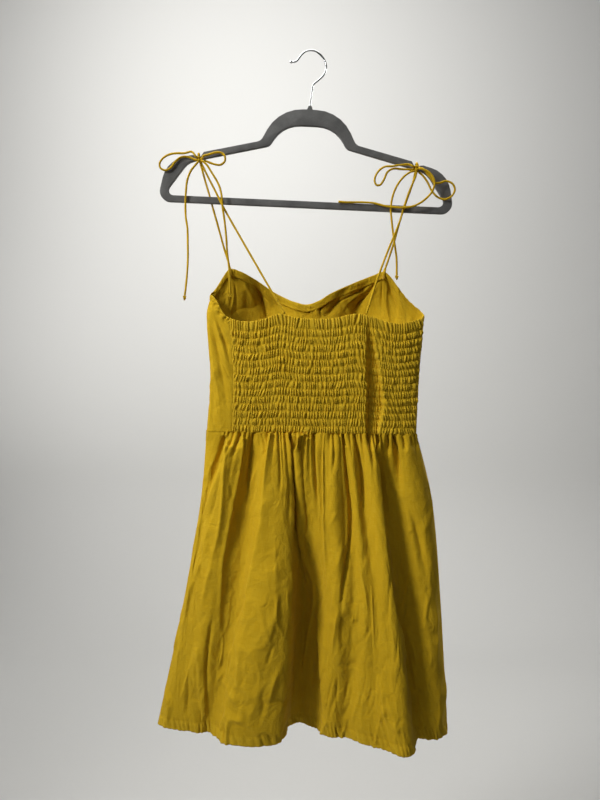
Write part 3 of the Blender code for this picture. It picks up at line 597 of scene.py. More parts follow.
@lru_cache(maxsize=None)
def cotton_thread():
    """Twisted polyester-cotton sewing thread: a slight gloss that sets stitches off from the cloth."""
    return mottled_material("twisted_sewing_thread", bpy.context.scene.dress_cloth.thread, paler_by=1.5,
                            size=THREAD_TWIST, detail=1.0, Roughness=0.6, Specular_IOR_Level=0.4)


@lru_cache(maxsize=None)
def velvet_flock():
    """Nylon flock shot onto a moulded frame: a dull grey nap, paler where it turns from the eye.

    Its fibres are hundredths of a millimetre thick, too fine to show, so the nap is drawn in tufts.
    """
    hanger = bpy.context.scene.dress_hanger
    material, tree, shader = new_material("nylon_velvet_flock", Roughness=0.95, Specular_IOR_Level=0.15,
                                          Sheen_Weight=0.6, Sheen_Roughness=0.35)
    coords = add_node(tree, "ShaderNodeTexCoord").outputs["Object"]
    nap = add_node(tree, "ShaderNodeTexNoise", {
        "Vector": coords, "Scale": 1.0 / (FLOCK_TUFT * MM), "Detail": 2.0})
    brushed = add_node(tree, "ShaderNodeTexNoise", {
        "Vector": coords, "Scale": 1.0 / (FLOCK_BRUSHED * MM), "Detail": 3.0})
    mixed = add_node(tree, "ShaderNodeMath", {0: nap.outputs["Fac"], 1: brushed.outputs["Fac"]},
                     operation="MULTIPLY")
    shade = add_node(tree, "ShaderNodeMapRange", {
        "Value": mixed.outputs[0], "From Min": 0.12, "From Max": 0.42})
    darker = [channel * 0.72 for channel in hanger.flock]
    paler = [channel * 1.22 for channel in hanger.flock]
    colour = add_node(tree, "ShaderNodeMix", {
        0: shade.outputs[0], 6: (*darker, 1.0), 7: (*paler, 1.0)}, data_type="RGBA")
    tree.links.new(colour.outputs[2], shader.inputs["Base Color"])
    rough = add_node(tree, "ShaderNodeBump", {
        "Height": nap.outputs["Fac"], "Strength": 0.6, "Distance": 0.5 * MM})
    tree.links.new(rough.outputs[0], shader.inputs["Normal"])
    return material


@lru_cache(maxsize=None)
def chrome_plate():
    """Chrome plate on drawn steel wire: bright and smooth, with faint marks of handling."""
    hanger = bpy.context.scene.dress_hanger
    material, tree, shader = new_material("chrome_plated_steel", Metallic=1.0)
    shader.inputs["Base Color"].default_value = (*hanger.chrome, 1.0)
    coords = add_node(tree, "ShaderNodeTexCoord").outputs["Object"]
    marks = add_node(tree, "ShaderNodeTexNoise", {
        "Vector": coords, "Scale": 1.0 / (HANDLING_MARK * MM), "Detail": 4.0})
    gloss = add_node(tree, "ShaderNodeMapRange", {
        "Value": marks.outputs["Fac"], "From Min": 0.35, "From Max": 0.75, "To Min": 0.09, "To Max": 0.26})
    tree.links.new(gloss.outputs[0], shader.inputs["Roughness"])
    return material


def matte_paint():
    """Matte emulsion rolled onto a smooth board: an even pale grey with no gloss."""
    return mottled_material("matte_emulsion", bpy.context.scene.dress_stage.paint, paler_by=1.02,
                            size=ROLLER_STIPPLE, detail=2.0, Roughness=0.95, Specular_IOR_Level=0.1)


def add_object(name, data):
    """An object in the scene that shows a mesh, a lamp or a camera."""
    thing = bpy.data.objects.new(name, data)
    bpy.context.scene.collection.objects.link(thing)
    return thing


def add_mesh(name, bm, material):
    """An object made of a mesh in metres, shaded smooth, with one material."""
    mesh = bpy.data.meshes.new(name)
    bm.to_mesh(mesh)
    bm.free()
    mesh.shade_smooth()
    mesh.materials.append(material)
    return add_object(name, mesh)


def finish_piece(name, bm, material, replaced=(), thickness=0.0):
    """Make a piece of a mesh in metres, let it ride on the root, and hide the model's parts that it
    replaces.
    """
    piece = add_mesh(name, bm, material)
    if thickness:
        solid = piece.modifiers.new("thickness", "SOLIDIFY")
        solid.thickness = thickness
        solid.offset = -1.0
    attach(piece, "root")
    if replaced:
        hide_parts(*replaced)
    return piece


def cloth_panel(name, surface, columns, rows, flat, relief, replaced, crowding=0.0, thickness=None):
    """A panel of cotton: a grid laid on a surface, raised by a relief, with its cloth's own UV map.

    flat is the width and length of cloth over which the weave is laid. relief says how far the cloth
    stands out at a place, and how much paler it is painted there: wear at edges and seams, and a painted
    highlight on the shirred puckers' tops. crowding draws the rows toward the upper and lower edge.
    """
    bm = bmesh.new()
    bmesh.ops.create_grid(bm, x_segments=columns, y_segments=rows, size=0.5)
    spots = []
    for vert in bm.verts:
        down = 0.5 - vert.co.y
        spots.append((vert.co.x + 0.5, down - crowding * math.sin(2.0 * math.pi * down) / (2.0 * math.pi)))
    uv_layer = bm.loops.layers.uv.new("UVMap")
    bm.verts.index_update()
    for face in bm.faces:
        for loop in face.loops:
            across, down = spots[loop.vert.index]
            loop[uv_layer].uv = (across * flat[0], (1.0 - down) * flat[1])
    for vert, (across, down) in zip(bm.verts, spots):
        vert.co = surface(across, down) * MM
    bm.normal_update()
    # A value per point that paints the cloth paler: wear at edges and seams, and a painted highlight on
    # pucker tops.
    wear_and_highlight_layer = bm.verts.layers.float.new("worn")
    normals = [vert.normal.copy() for vert in bm.verts]
    for vert, normal, (across, down) in zip(bm.verts, normals, spots):
        height, worn = relief(across, down, vert.co / MM)
        vert.co += normal * (height * MM)
        vert[wear_and_highlight_layer] = worn
    cloth = bpy.context.scene.dress_cloth
    return finish_piece(name, bm, plain_weave_cotton("plain_weave_cotton", True), replaced,
                        cloth.thickness if thickness is None else thickness * MM)


STITCH_PITCH = 3.2
STITCH_LENGTH = 2.5
THREAD_RADIUS = 0.16


def cloth_spot(surface, relief, across, down):
    """A point of a finished panel, in millimetres, and the direction in which its cloth faces."""
    step = 0.002
    point = surface(across, down)
    along = surface(across + step, down) - surface(across - step, down)
    normal = along.cross(surface(across, down - step) - surface(across, down + step)).normalized()
    return point + normal * relief(across, down, point)[0], normal


def sew(name, surface, relief, lines, wide):
    """Machine stitches on a panel. Each line gives how far down it runs for a place across."""
    pattern = bmesh.new()
    half = 0.5 * STITCH_LENGTH
    arch = [Vector((share * half, 0.0, z))
            for share, z in ((-1.0, -0.2), (-0.7, 0.1), (0.7, 0.1), (1.0, -0.2))]
    sweep_ring(pattern, arch, [THREAD_RADIUS] * len(arch), sides=5)
    stitch = bpy.data.meshes.new("stitch")
    pattern.to_mesh(stitch)
    pattern.free()
    bm = bmesh.new()
    count = round(wide / STITCH_PITCH)
    for line in lines:
        for k in range(1, count - 1):
            start, end = (k + 0.2) / count, (k + 0.8) / count
            low, low_normal = cloth_spot(surface, relief, start, line(start))
            high, high_normal = cloth_spot(surface, relief, end, line(end))
            ahead = (high - low).normalized()
            outward = low_normal + high_normal
            outward = (outward - ahead * outward.dot(ahead)).normalized()
            turned = Matrix((ahead, outward.cross(ahead), outward)).transposed().to_4x4()
            place = Matrix.Translation((low + high) * 0.5 * MM) @ turned
            first = len(bm.verts)
            bm.from_mesh(stitch)
            bm.verts.ensure_lookup_table()
            for vert in bm.verts[first:]:
                vert.co = place @ vert.co
    bpy.data.meshes.remove(stitch)
    return finish_piece(name, bm, cotton_thread())


class SeenFold(NamedTuple):
    """A fold on the side that the camera sees: its part, shape, height, half width and line.

    A lap is a step up to the left or to the right that fades away behind its edge. The line's points
    are x and z where the sight lines cross the hanger's plane.
    """
    part: str
    shape: str
    height: float
    width: float
    line: list


# The folds of each part and shape: height, half width, then the points of the line
SEEN_FOLD_ROWS = {
    ("skirt", "lap_right"): (
        (5.2, 1.4, (-127, -598), (-133, -621), (-149, -670), (-159, -696), (-169, -732)),
        (5.5, 1.4, (-60, -579), (-64, -611), (-67, -649), (-74, -710), (-86, -772), (-93, -804),
         (-103, -852), (-114, -878), (-125, -906)),
        (5.9, 1.5, (11, -837), (13, -864), (16, -906), (18, -967), (20, -1037)),
    ),
    ("skirt", "groove"): (
        (5.3, 3.4, (-129, -583), (-140, -626), (-154, -667)),
        (3.9, 2.8, (-104, -579), (-114, -604), (-122, -628)),
        (7.0, 2.5, (-86, -579), (-90, -619), (-94, -657), (-101, -702)),
        (3.1, 1.7, (-72, -579), (-68, -601), (-70, -622)),
        (2.9, 1.9, (-47, -579), (-45, -619), (-44, -649), (-49, -688)),
        (11.4, 1.8, (-29, -573), (-27, -622), (-23, -664), (-22, -710), (-21, -770), (-22, -831),
         (-23, -891)),
        (2.9, 1.5, (-11, -579), (-10, -601), (-12, -622)),
        (5.6, 2.3, (6, -578), (8, -635), (12, -692), (20, -740)),
        (4.2, 2.1, (36, -579), (38, -613), (33, -649)),
        (8.1, 1.7, (50, -579), (54, -614), (58, -650), (61, -685), (62, -720), (61, -748), (55, -801),
         (46, -849)),
        (7.7, 1.6, (68, -575), (74, -608), (79, -643), (81, -678), (81, -716)),
        (3.1, 2.1, (60, -576), (63, -598), (66, -619)),
        (4.9, 2.1, (89, -583), (94, -607), (100, -637)),
        (13.1, 1.9, (103, -573), (104, -605), (110, -633), (113, -664), (116, -692), (120, -734),
         (125, -776), (133, -829), (144, -884), (151, -929), (157, -984), (162, -1040)),
        (10.5, 3.0, (128, -576), (132, -614), (135, -646), (138, -670)),
        (3.5, 1.5, (119, -579), (120, -607)),
        (3.5, 1.9, (143, -586), (147, -607)),
        (3.5, 1.9, (154, -583), (159, -604)),
        (5.6, 6.6, (152, -684), (165, -734), (173, -773), (187, -831)),
        (2.1, 2.1, (-157, -855), (-167, -864), (-178, -873)),
        (5.6, 3.6, (-144, -843), (-152, -888), (-156, -934), (-154, -982), (-153, -1028)),
        (2.5, 2.5, (-181, -934), (-185, -982), (-184, -1025)),
        (2.0, 2.4, (-128, -922), (-132, -929), (-137, -937)),
        (2.0, 3.0, (-55, -894), (-63, -925), (-74, -950)),
        (2.2, 3.4, (-73, -967), (-70, -994), (-80, -1028)),
        (1.6, 3.4, (-101, -946), (-105, -982), (-111, -1022)),
        (4.5, 3.0, (59, -752), (53, -796), (49, -834), (42, -867)),
        (2.9, 5.7, (52, -849), (49, -891), (49, -919)),
        (2.3, 1.9, (92, -876), (79, -893)),
        (2.1, 2.8, (61, -943), (55, -976), (48, -1000)),
        (1.8, 2.8, (95, -964), (86, -1000)),
    ),
    ("skirt", "ridge"): (
        (4.1, 2.8, (-123, -589), (-128, -634), (-132, -679), (-137, -725), (-148, -770), (-157, -816)),
        (4.9, 3.2, (-101, -586), (-106, -626), (-116, -679), (-127, -743), (-133, -782), (-135, -829),
         (-137, -867), (-146, -937)),
        (3.2, 1.6, (-59, -579), (-62, -611), (-66, -649), (-73, -710)),
        (3.6, 2.3, (-33, -578), (-31, -619), (-28, -652)),
        (16.0, 8.5, (-14, -579), (-13, -630), (-10, -690), (-5, -750), (0, -800)),
        (4.5, 4.0, (-17, -590), (-17, -640), (-15, -700), (-13, -760)),
        (9.0, 8.0, (-12, -680), (-8, -740), (-3, -790), (1, -835)),
        (3.6, 1.8, (-17, -579), (-19, -611), (-19, -640)),
        (4.5, 4.6, (-2, -586), (-2, -634), (-2, -679), (-5, -707)),
        (2.4, 1.5, (8, -687), (-5, -704)),
        (2.4, 1.5, (-5, -705), (-1, -725), (8, -754)),
        (2.0, 1.4, (2, -708), (11, -737), (19, -754)),
        (4.1, 1.7, (22, -574), (21, -622), (22, -678), (24, -734), (26, -784), (30, -829), (31, -863)),
        (3.2, 3.4, (44, -583), (48, -626), (51, -667), (52, -702)),
        (3.2, 2.3, (55, -598), (62, -658), (68, -706), (72, -734), (79, -764)),
        (2.8, 3.0, (52, -743), (43, -773), (37, -794)),
        (2.4, 2.3, (43, -693), (33, -713), (25, -731)),
        (2.4, 2.3, (190, -825), (193, -869), (193, -934)),
        (2.4, 3.0, (177, -891), (198, -922)),
        (3.2, 3.7, (-148, -773), (-157, -813), (-167, -855)),
        (2.8, 3.4, (-172, -891), (-166, -934), (-169, -982)),
        (2.8, 1.8, (-123, -934), (-134, -946), (-139, -958)),
        (3.2, 3.9, (-45, -931), (-57, -967), (-63, -1006)),
        (4.9, 2.5, (-7, -740), (3, -784), (9, -813), (8, -840), (-2, -884), (-9, -929), (-11, -995)),
        (3.0, 1.4, (45, -840), (38, -884), (33, -923)),
        (2.4, 1.6, (79, -850), (69, -857), (58, -867)),
        (2.4, 1.6, (79, -850), (86, -873), (79, -891)),
        (2.7, 1.8, (73, -762), (81, -801), (86, -829), (89, -867)),
        (2.3, 1.6, (93, -796), (97, -873), (100, -937)),
        (3.6, 2.8, (107, -946), (114, -990), (123, -1035), (128, -1067)),
        (2.0, 3.4, (79, -967), (67, -1006), (61, -1028)),
    ),
    ("skirt", "lap_left"): (
        (2.6, 1.6, (-159, -753), (-169, -789), (-180, -821), (-188, -872)),
        (3.6, 3.6, (-51, -840), (-53, -864), (-60, -891), (-76, -910), (-96, -922), (-111, -928)),
        (4.6, 3.0, (114, -943), (120, -975), (129, -1005), (142, -1064)),
    ),
    ("cups", "groove"): (
        (1.8, 1.4, (-116, -339), (-112, -368), (-110, -410)),
        (5.5, 2.4, (-82, -355), (-76, -364), (-69, -386), (-62, -410)),
        (1.6, 1.6, (-111, -341), (-78, -364), (-60, -380), (-40, -398)),
        (1.8, 2.2, (-130, -340), (-136, -361), (-137, -381)),
        (1.6, 1.8, (-30, -378), (-20, -389), (-13, -404)),
        (1.6, 1.6, (2, -383), (-1, -393), (4, -407)),
        (2.2, 1.6, (19, -381), (16, -392), (20, -407)),
        (3.2, 2.2, (101, -343), (76, -363), (44, -380), (25, -404)),
        (5.5, 2.4, (106, -342), (85, -370), (70, -388), (63, -408)),
        (2.2, 1.4, (111, -340), (109, -377), (108, -410)),
        (3.6, 2.4, (116, -339), (124, -368), (131, -388), (132, -413)),
        (1.8, 2.0, (128, -349), (142, -371), (149, -392)),
        (1.4, 1.6, (137, -364), (154, -386), (158, -401)),
    ),
    ("cups", "ridge"): (
        (2.0, 3.0, (-101, -348), (-90, -368), (-81, -389)),
        (1.6, 2.6, (-123, -352), (-123, -377), (-122, -399)),
        (1.6, 1.8, (10, -383), (10, -395), (14, -407)),
        (2.0, 2.6, (103, -345), (82, -363), (58, -381), (43, -404)),
        (2.2, 2.8, (107, -349), (93, -372), (84, -395), (81, -408)),
        (1.8, 2.6, (118, -346), (116, -374), (118, -407)),
    ),
    ("side", "groove"): (
        (3.4, 3.6, (-153, -401), (-144, -436), (-135, -478), (-128, -516), (-123, -558)),
        (2.8, 2.6, (-146, -396), (-134, -424), (-125, -452), (-117, -486)),
        (1.4, 3.0, (-148, -498), (-146, -536), (-148, -573)),
        (1.6, 1.6, (-142, -380), (-145, -389)),
        (1.8, 1.6, (-134, -390), (-139, -402)),
        (1.6, 1.5, (-126, -399), (-131, -414)),
    ),
    ("side", "ridge"): (
        (2.6, 3.4, (-148, -395), (-139, -422), (-129, -455), (-120, -501)),
        (2.0, 3.0, (-151, -422), (-145, -477), (-137, -528), (-134, -573)),
        (1.4, 1.5, (-137, -386), (-142, -396)),
        (1.4, 1.5, (-129, -396), (-136, -410)),
    ),
}
SEEN_FOLDS = [SeenFold(part, shape, height, width, line)
              for (part, shape), rows in SEEN_FOLD_ROWS.items() for height, width, *line in rows]
# How far a lap reaches behind its edge, and how far down a fold may start and still come from the waist
LAP_FADE = 13.0
FOLDS_FROM_WAIST = 608.0


def on_hanger_plane(co):
    """Where the camera's sight line through a point crosses the hanger's plane."""
    scale = CAMERA_PLACE.y / (CAMERA_PLACE.y - co.y)
    return (CAMERA_PLACE.x + (co.x - CAMERA_PLACE.x) * scale,
            CAMERA_PLACE.z + (co.z - CAMERA_PLACE.z) * scale)


@lru_cache(maxsize=None)
def seen_folds_at(part, level):
    """The folds that cross one millimetre level: shape, height there, width and x."""
    crossing = []
    for fold in SEEN_FOLDS:
        depths = [-z for x, z in fold.line]
        start, end = depths[0], depths[-1]
        if fold.part != part or not start <= -level <= end:
            continue
        share = (-level - start) / (end - start)
        from_waist = part == "skirt" and start < FOLDS_FROM_WAIST
        strength = smooth((1.0 - share) / 0.55) * (1.0 if from_waist else smooth(share / 0.3))
        if strength > 0.0:
            width = fold.width * (0.8 + 0.7 * share if from_waist else 1.0)
            x = cubic(depths, [x for x, z in fold.line], -level)
            crossing.append((fold.shape, fold.height * strength, width, x))
    return crossing


def seen_height(part, co):
    """How far the folds raise or sink the cloth at a point."""
    x, z = on_hanger_plane(co)
    total = 0.0
    for shape, height, width, fold_x in seen_folds_at(part, round(z)):
        away = x - fold_x
        if shape == "groove":
            total -= height * bump(away, width) if abs(away) < 3.0 * width else 0.0
        elif shape == "ridge":
            total += height / (1.0 + (away / width)**2)**1.5 if abs(away) < 6.0 * width else 0.0
        else:
            behind = away if shape == "lap_right" else -away
            if -2.0 * width < behind < 4.0 * LAP_FADE:
                step = smooth(0.5 + 0.5 * behind / width)
                total += height * step * math.exp(-max(behind, 0.0) / LAP_FADE)
    return total


def from_seam(across, wide):
    """How far a place is from the nearer side of its panel."""
    return min(across, 1.0 - across) * wide


def seam_dip(distance):
    """How far cloth sinks into a seam that is this far away."""
    return -0.7 * bump(distance, 1.8)


class CreaseSet(NamedTuple):
    """Creases of one size: the distance between them, how they lean, their share and their width."""
    pitch: float
    lean: float
    share: float
    width: float


CREASE_SETS = (
    CreaseSet(60.0, 0.50, 3.2, 0.17),
    CreaseSet(37.0, -0.60, 2.4, 0.16),
    CreaseSet(22.0, 0.20, 1.2, 0.20),
    CreaseSet(12.0, -0.30, 0.5, 0.28),
)


def crumpling(u, v, seed):
    """Creases left by wear, in millimetres of cloth: soft swells crossed by slanting folded lines."""
    size = bpy.context.scene.dress_cloth.crumple / MM
    height = 1.1 * rumple(u / 44.0, v / 80.0, seed + 1)
    for k, crease in enumerate(CREASE_SETS):
        across = (u + crease.lean * v) / crease.pitch
        along = (v - crease.lean * u) / (2.2 * crease.pitch)
        nearness = abs(rumple(across, along, seed + 2 * k)) / crease.width
        strength = rumple(u / 85.0 + k, v / 110.0, seed + 9 + k)
        height += 2.2 * crease.share * strength * (1.0 - min(1.0, math.sqrt(nearness**2 + 0.02)))
    return size * height


def shirring(across, down):
    """Height of the puckers between the elastic rows, and how much paler their tops are painted, as wear
    and as a painted highlight.
    """
    cloth = bpy.context.scene.dress_cloth
    rows, count = cloth.shirring_rows, cloth.puckers
    place = down * (rows - 1 + SHIR_HEADER)
    if place < SHIR_HEADER:
        row, share = 0, place / SHIR_HEADER
        strength = 0.85 + 0.25 * math.sin(math.pi * share) if share < 0.8 else 0.35 + 2.5 * (1.0 - share)
    else:
        row = 1 + int(place - SHIR_HEADER)
        share = (place - SHIR_HEADER) % 1.0
        strength = 0.12 + 1.0 * math.sin(math.pi * share)**0.65
    drift = 1.4 * rumple(across * 13.0, row * 1.37, 1) + 0.8 * rumple(across * 34.0, row * 2.71, 2)
    slant = 1.0 * (share - 0.5) * (0.3 - across + 1.3 * rumple(across * 10.0, row * 0.9, 3))
    phase = across * count + drift + slant + 0.5 * uneven(row, 4)
    ridge = abs(math.cos(math.pi * phase))**0.75
    tall = 0.85 + 0.6 * rumple(phase * 0.9, row * 3.3, 5)
    height = cloth.pucker_height / MM * strength * ridge * tall
    # The second value paints the puckers' crests paler, following their height: a painted highlight as well
    # as wear.
    return height - 1.0, 0.5 * strength * ridge


SHIRRED_WIDTH = 294.0
# Wider than the cut, which makes the weave finer on the puckers
SHIRRED_WEAVE = (560.0, 186.0)


def make_shirred_back():
    surface = bodice_surface(BACK_LEFT_SEAM, BACK_RIGHT_SEAM, top_edge_z, above_waist)

    def relief(across, down, co):
        height, worn = shirring(across, down)
        edge = from_seam(across, SHIRRED_WIDTH)
        fade = smooth(edge / 3.0)
        return height * fade + seam_dip(edge), worn

    panel = cloth_panel("shirred_back", surface, columns=430, rows=114, flat=SHIRRED_WEAVE, relief=relief,
                        replaced=["back_smocked"])
    rows = bpy.context.scene.dress_cloth.shirring_rows
    lines = [lambda across, row=row: (SHIR_HEADER + row) / (rows - 1 + SHIR_HEADER)
             for row in range(rows - 1)]
    sew("shirring_stitches", surface, relief, lines, SHIRRED_WIDTH)


# Drag lines on the right side panel, on the side that the camera doesn't see
SIDE_CREASES = (
    Crease(158, -395, 150, -470, 1.8, 5.0),
    Crease(146, -430, 153, -530, -1.6, 5.0),
    Crease(162, -440, 158, -560, 1.2, 4.0),
)


# The sides' folded top edge: from one roped pucker to the next, and how far down it is stitched
ROPING_PITCH = 5.2
SIDE_STITCHES = 9.0


def make_side_panels():
    sides = {
        "left": (LEFT_SIDE_SEAM - 1.0, BACK_LEFT_SEAM, "tie_back_left"),
        "right": (BACK_RIGHT_SEAM, RIGHT_SIDE_SEAM, "tie_back_right"),
    }
    for side, (start, end, tie) in sides.items():
        surface = bodice_surface(start, end, top_edge_z, above_waist)
        wide = (end - start) * GIRTH_LENGTH

        def relief(across, down, co):
            top = top_edge_z(start + (end - start) * across) - co.z
            edge = from_seam(across, wide)
            twist = across * wide + 0.9 * top + 3.0 * rumple(across * wide / 9.0, 0.0, 12)
            roped = 1.3 * math.sin(twist * 2.0 * math.pi / ROPING_PITCH) * bump(top - 4.0, 4.5)
            stitched = -0.5 * bump(top - SIDE_STITCHES, 1.0)
            pulled = seen_height("side", co) if side == "left" and co.y < 4.0 else 0.0
            pulled -= crease_height(SIDE_CREASES, co.x, co.z)
            height = roped + stitched + pulled + seam_dip(edge)
            height += 0.6 * crumpling(across * wide, down * 190.0, 11) * smooth(edge / 8.0)
            return height, 0.4 * bump(top, 2.0) + 0.3 * bump(edge - 1.5, 1.5)

        panel = cloth_panel(f"plain_side_{side}", surface, columns=44, rows=130, flat=(wide, 196.0),
                            relief=relief, replaced=[f"side_panel_{side}"])


class CupPanel(NamedTuple):
    """One sewn piece of a cup, between two seams: its mesh's columns, and its cut area in square metres,
    which is not used.
    """
    name: str
    start: float
    end: float
    columns: int
    flat_area: float


CUP_PANELS = (
    CupPanel("outer_right", RIGHT_SIDE_SEAM, RIGHT_CUP_SEAM, 34, 0.0018),
    CupPanel("inner_right", RIGHT_CUP_SEAM, CENTRE_FRONT, 100, 0.0085),
    CupPanel("inner_left", CENTRE_FRONT, LEFT_CUP_SEAM, 100, 0.0085),
    CupPanel("outer_left", LEFT_CUP_SEAM, LEFT_SIDE_SEAM, 34, 0.0021),
)

# A seam across the left cup, from its side to its middle
CROSS_SEAM = ((-124, -398), (-110, -387), (-98, -383), (-85, -384), (-74, -392))

# The cups' top edge: how far down it is stitched, and from one short pucker to the next
CUP_STITCHES = 10.0
EDGE_PUCKER = 5.5


def drifting(along):
    """A place along the cups' edge, moved a little so that its puckers come at uneven distances."""
    return along + 9.0 * rumple(along / 16.0, 0.0, 3)


def make_cups():
    for cup in CUP_PANELS:
        surface = bodice_surface(cup.start, cup.end, top_edge_z, above_cup_seam)
        wide = (cup.end - cup.start) * GIRTH_LENGTH

        def relief(across, down, co):
            share = cup.start + (cup.end - cup.start) * across
            top = top_edge_z(share) - co.z
            edge = from_seam(across, wide)
            bottom = co.z - CUP_SEAM_Z
            height = -seen_height("cups", co) * smooth(top / 9.0)
            if cup.name.endswith("left") and CROSS_SEAM[0][0] < co.x < CROSS_SEAM[-1][0]:
                cross = cubic(*zip(*CROSS_SEAM), co.x)
                height += 0.9 * bump(co.z - cross, 1.3)
            creased = 0.5 * crumpling(across * wide, down * 60.0, 21)
            height += creased * smooth(top / 8.0) * smooth(edge / 6.0)
            height += seam_dip(edge) + seam_dip(bottom) - 0.35 * bump(top - CUP_STITCHES, 0.9)
            slanted = drifting(across * wide) - 0.6 * top
            height += 1.1 * rumple(slanted / EDGE_PUCKER, top / 9.0, 7) * bump(top - 5.5, 4.5)
            return height, 0.4 * bump(top, 2.0)

        panel = cloth_panel(f"bust_cup_{cup.name}", surface, cup.columns, rows=44, flat=(wide, 70.0),
                            relief=relief, replaced=[f"cup_{cup.name}"])


FACING_DEPTH = 12.0
FACING_INSET = 1.2
# How far down the facing its stitches run, as a share of its depth
FACING_STITCHES = 0.84


def make_facings():
    """The facing sewn inside the cups' top edge, with its stitches' pull showing as short puckers."""
    def facing_top(share):
        return top_edge_z(share) - 0.4

    def facing_bottom(share):
        return top_edge_z(share) - FACING_DEPTH

    for cup in CUP_PANELS:
        base = bodice_surface(cup.start, cup.end, facing_top, facing_bottom)
        wide = (cup.end - cup.start) * GIRTH_LENGTH

        def surface(across, down):
            along = base(across + 0.004, down) - base(across - 0.004, down)
            return base(across, down) + Vector((-along.y, along.x, 0.0)).normalized() * FACING_INSET

        def relief(across, down, co):
            slanted = drifting(across * wide) + 7.0 * down
            pulled = rumple(slanted / EDGE_PUCKER, down * 1.5, 6)
            depth = 1.5 * abs(pulled) * math.sin(math.pi * down)**0.5
            depth += 0.5 * bump((down - FACING_STITCHES) * FACING_DEPTH, 0.8)
            return -depth, 0.5 * bump(down * FACING_DEPTH, 2.0)

        sew(f"facing_stitches_{cup.name}", surface, relief, [lambda across: FACING_STITCHES], wide)
        panel = cloth_panel(f"neck_facing_{cup.name}", surface, 2 * cup.columns, rows=10,
                            flat=(wide, FACING_DEPTH), relief=relief, replaced=[f"facing_{cup.name}"],
                            thickness=0.4)


MIDRIFF_CREASES = (
    Crease(-110, -430, -60, -520, 1.6, 7.0),
    Crease(-40, -425, -70, -470, -1.4, 6.0),
    Crease(-10, -470, 20, -560, 1.5, 7.0),
    Crease(60, -430, 20, -500, 1.6, 7.0),
    Crease(110, -425, 80, -540, -1.5, 8.0),
    Crease(130, -470, 140, -560, 1.4, 6.0),
)


MIDRIFF_WIDTH = 302.0
MIDRIFF_DROP = 162.0
# How far below the cups' seam the midriff is stitched down
MIDRIFF_STITCHES = 6.0


def make_midriff():
    surface = bodice_surface(RIGHT_SIDE_SEAM, LEFT_SIDE_SEAM, below_cup_seam, above_waist)

    def relief(across, down, co):
        edge = from_seam(across, MIDRIFF_WIDTH)
        top = CUP_SEAM_Z - co.z
        bottom = co.z - waist_z(co.x)
        height = crease_height(MIDRIFF_CREASES, co.x, co.z)
        height += crumpling(across * MIDRIFF_WIDTH, down * 160.0, 31)
        height *= smooth(edge / 9.0) * smooth(top / 9.0) * smooth(bottom / 9.0)
        height += seam_dip(edge) + seam_dip(top) + seam_dip(bottom)
        height -= 0.4 * bump(top - MIDRIFF_STITCHES, 0.9)
        return height, 0.3 * bump(top - 2.0, 2.0)

    panel = cloth_panel("midriff_plain", surface, columns=150, rows=80, flat=(MIDRIFF_WIDTH, MIDRIFF_DROP),
                        relief=relief, replaced=["midriff_front"])


# From one gather to the next, counted in fold lines, and how high a gather stands
GATHER_PITCH = 0.72
GATHER_HEIGHT = 5.6


def gathering(around, down, seed):
    """Height of the gathers at the waist. Most fade within a few centimetres, some run far down."""
    phase = around / GATHER_PITCH + 1.1 * rumple(around * 0.8, 0.0, seed)
    phase += 0.5 * rumple(around * 0.3, down * 5.0, seed)
    number = math.floor(phase)
    blend = smooth(phase - number)
    reaches = [0.068 + 0.03 * uneven(k, seed) + 0.34 * max(0.0, uneven(k, seed + 1))**2
               for k in (number, number + 1)]
    reach = reaches[0] + (reaches[1] - reaches[0]) * blend
    tall = 0.85 + 0.6 * rumple(phase * 0.8, 0.0, seed + 2)
    ridge = abs(math.cos(math.pi * (phase - 0.5)))**0.7
    return GATHER_HEIGHT * tall * (ridge - 0.7) * math.exp(-(down / reach)**1.3)


class Drape(NamedTuple):
    """A soft crease down the skirt, between two fold numbers and heights. Negative heights are troughs."""
    around_top: float
    around_low: float
    down_top: float
    down_low: float
    height: float
    width: float


FRONT_DRAPES = 16


def front_drapes():
    """Creases like the back's, set at uneven places down the front."""
    drapes = []
    for k in range(FRONT_DRAPES):
        around = BACK_SPAN + 1.0 + 0.85 * k + 0.3 * uneven(k, 8)
        top = 0.2 + 0.25 * uneven(k, 9)
        drapes.append(Drape(around, around + 0.6 * uneven(k, 10), top, top + 0.5 + 0.2 * uneven(k, 11),
                            3.4 * uneven(k, 12), 0.24 + 0.08 * uneven(k, 13)))
    return tuple(drapes)


def drape_height(drapes, around, down):
    total = 0.0
    for drape in drapes:
        t = (down - drape.down_top) / (drape.down_low - drape.down_top)
        if -0.2 < t < 1.2:
            line = drape.around_top + (drape.around_low - drape.around_top) * t
            fade = smooth((t + 0.2) / 0.4) * smooth((1.2 - t) / 0.4)
            total += drape.height * fade * bump(around - line, drape.width)
    return total


# The skirt's back isn't gathered under the left side panel
GATHERS_FROM = 1.6
# A crease pressed across the skirt when it lay folded
PRESSED_Z = -921.0
PRESSED_FROM = 31.0
PRESSED_TO = 76.0


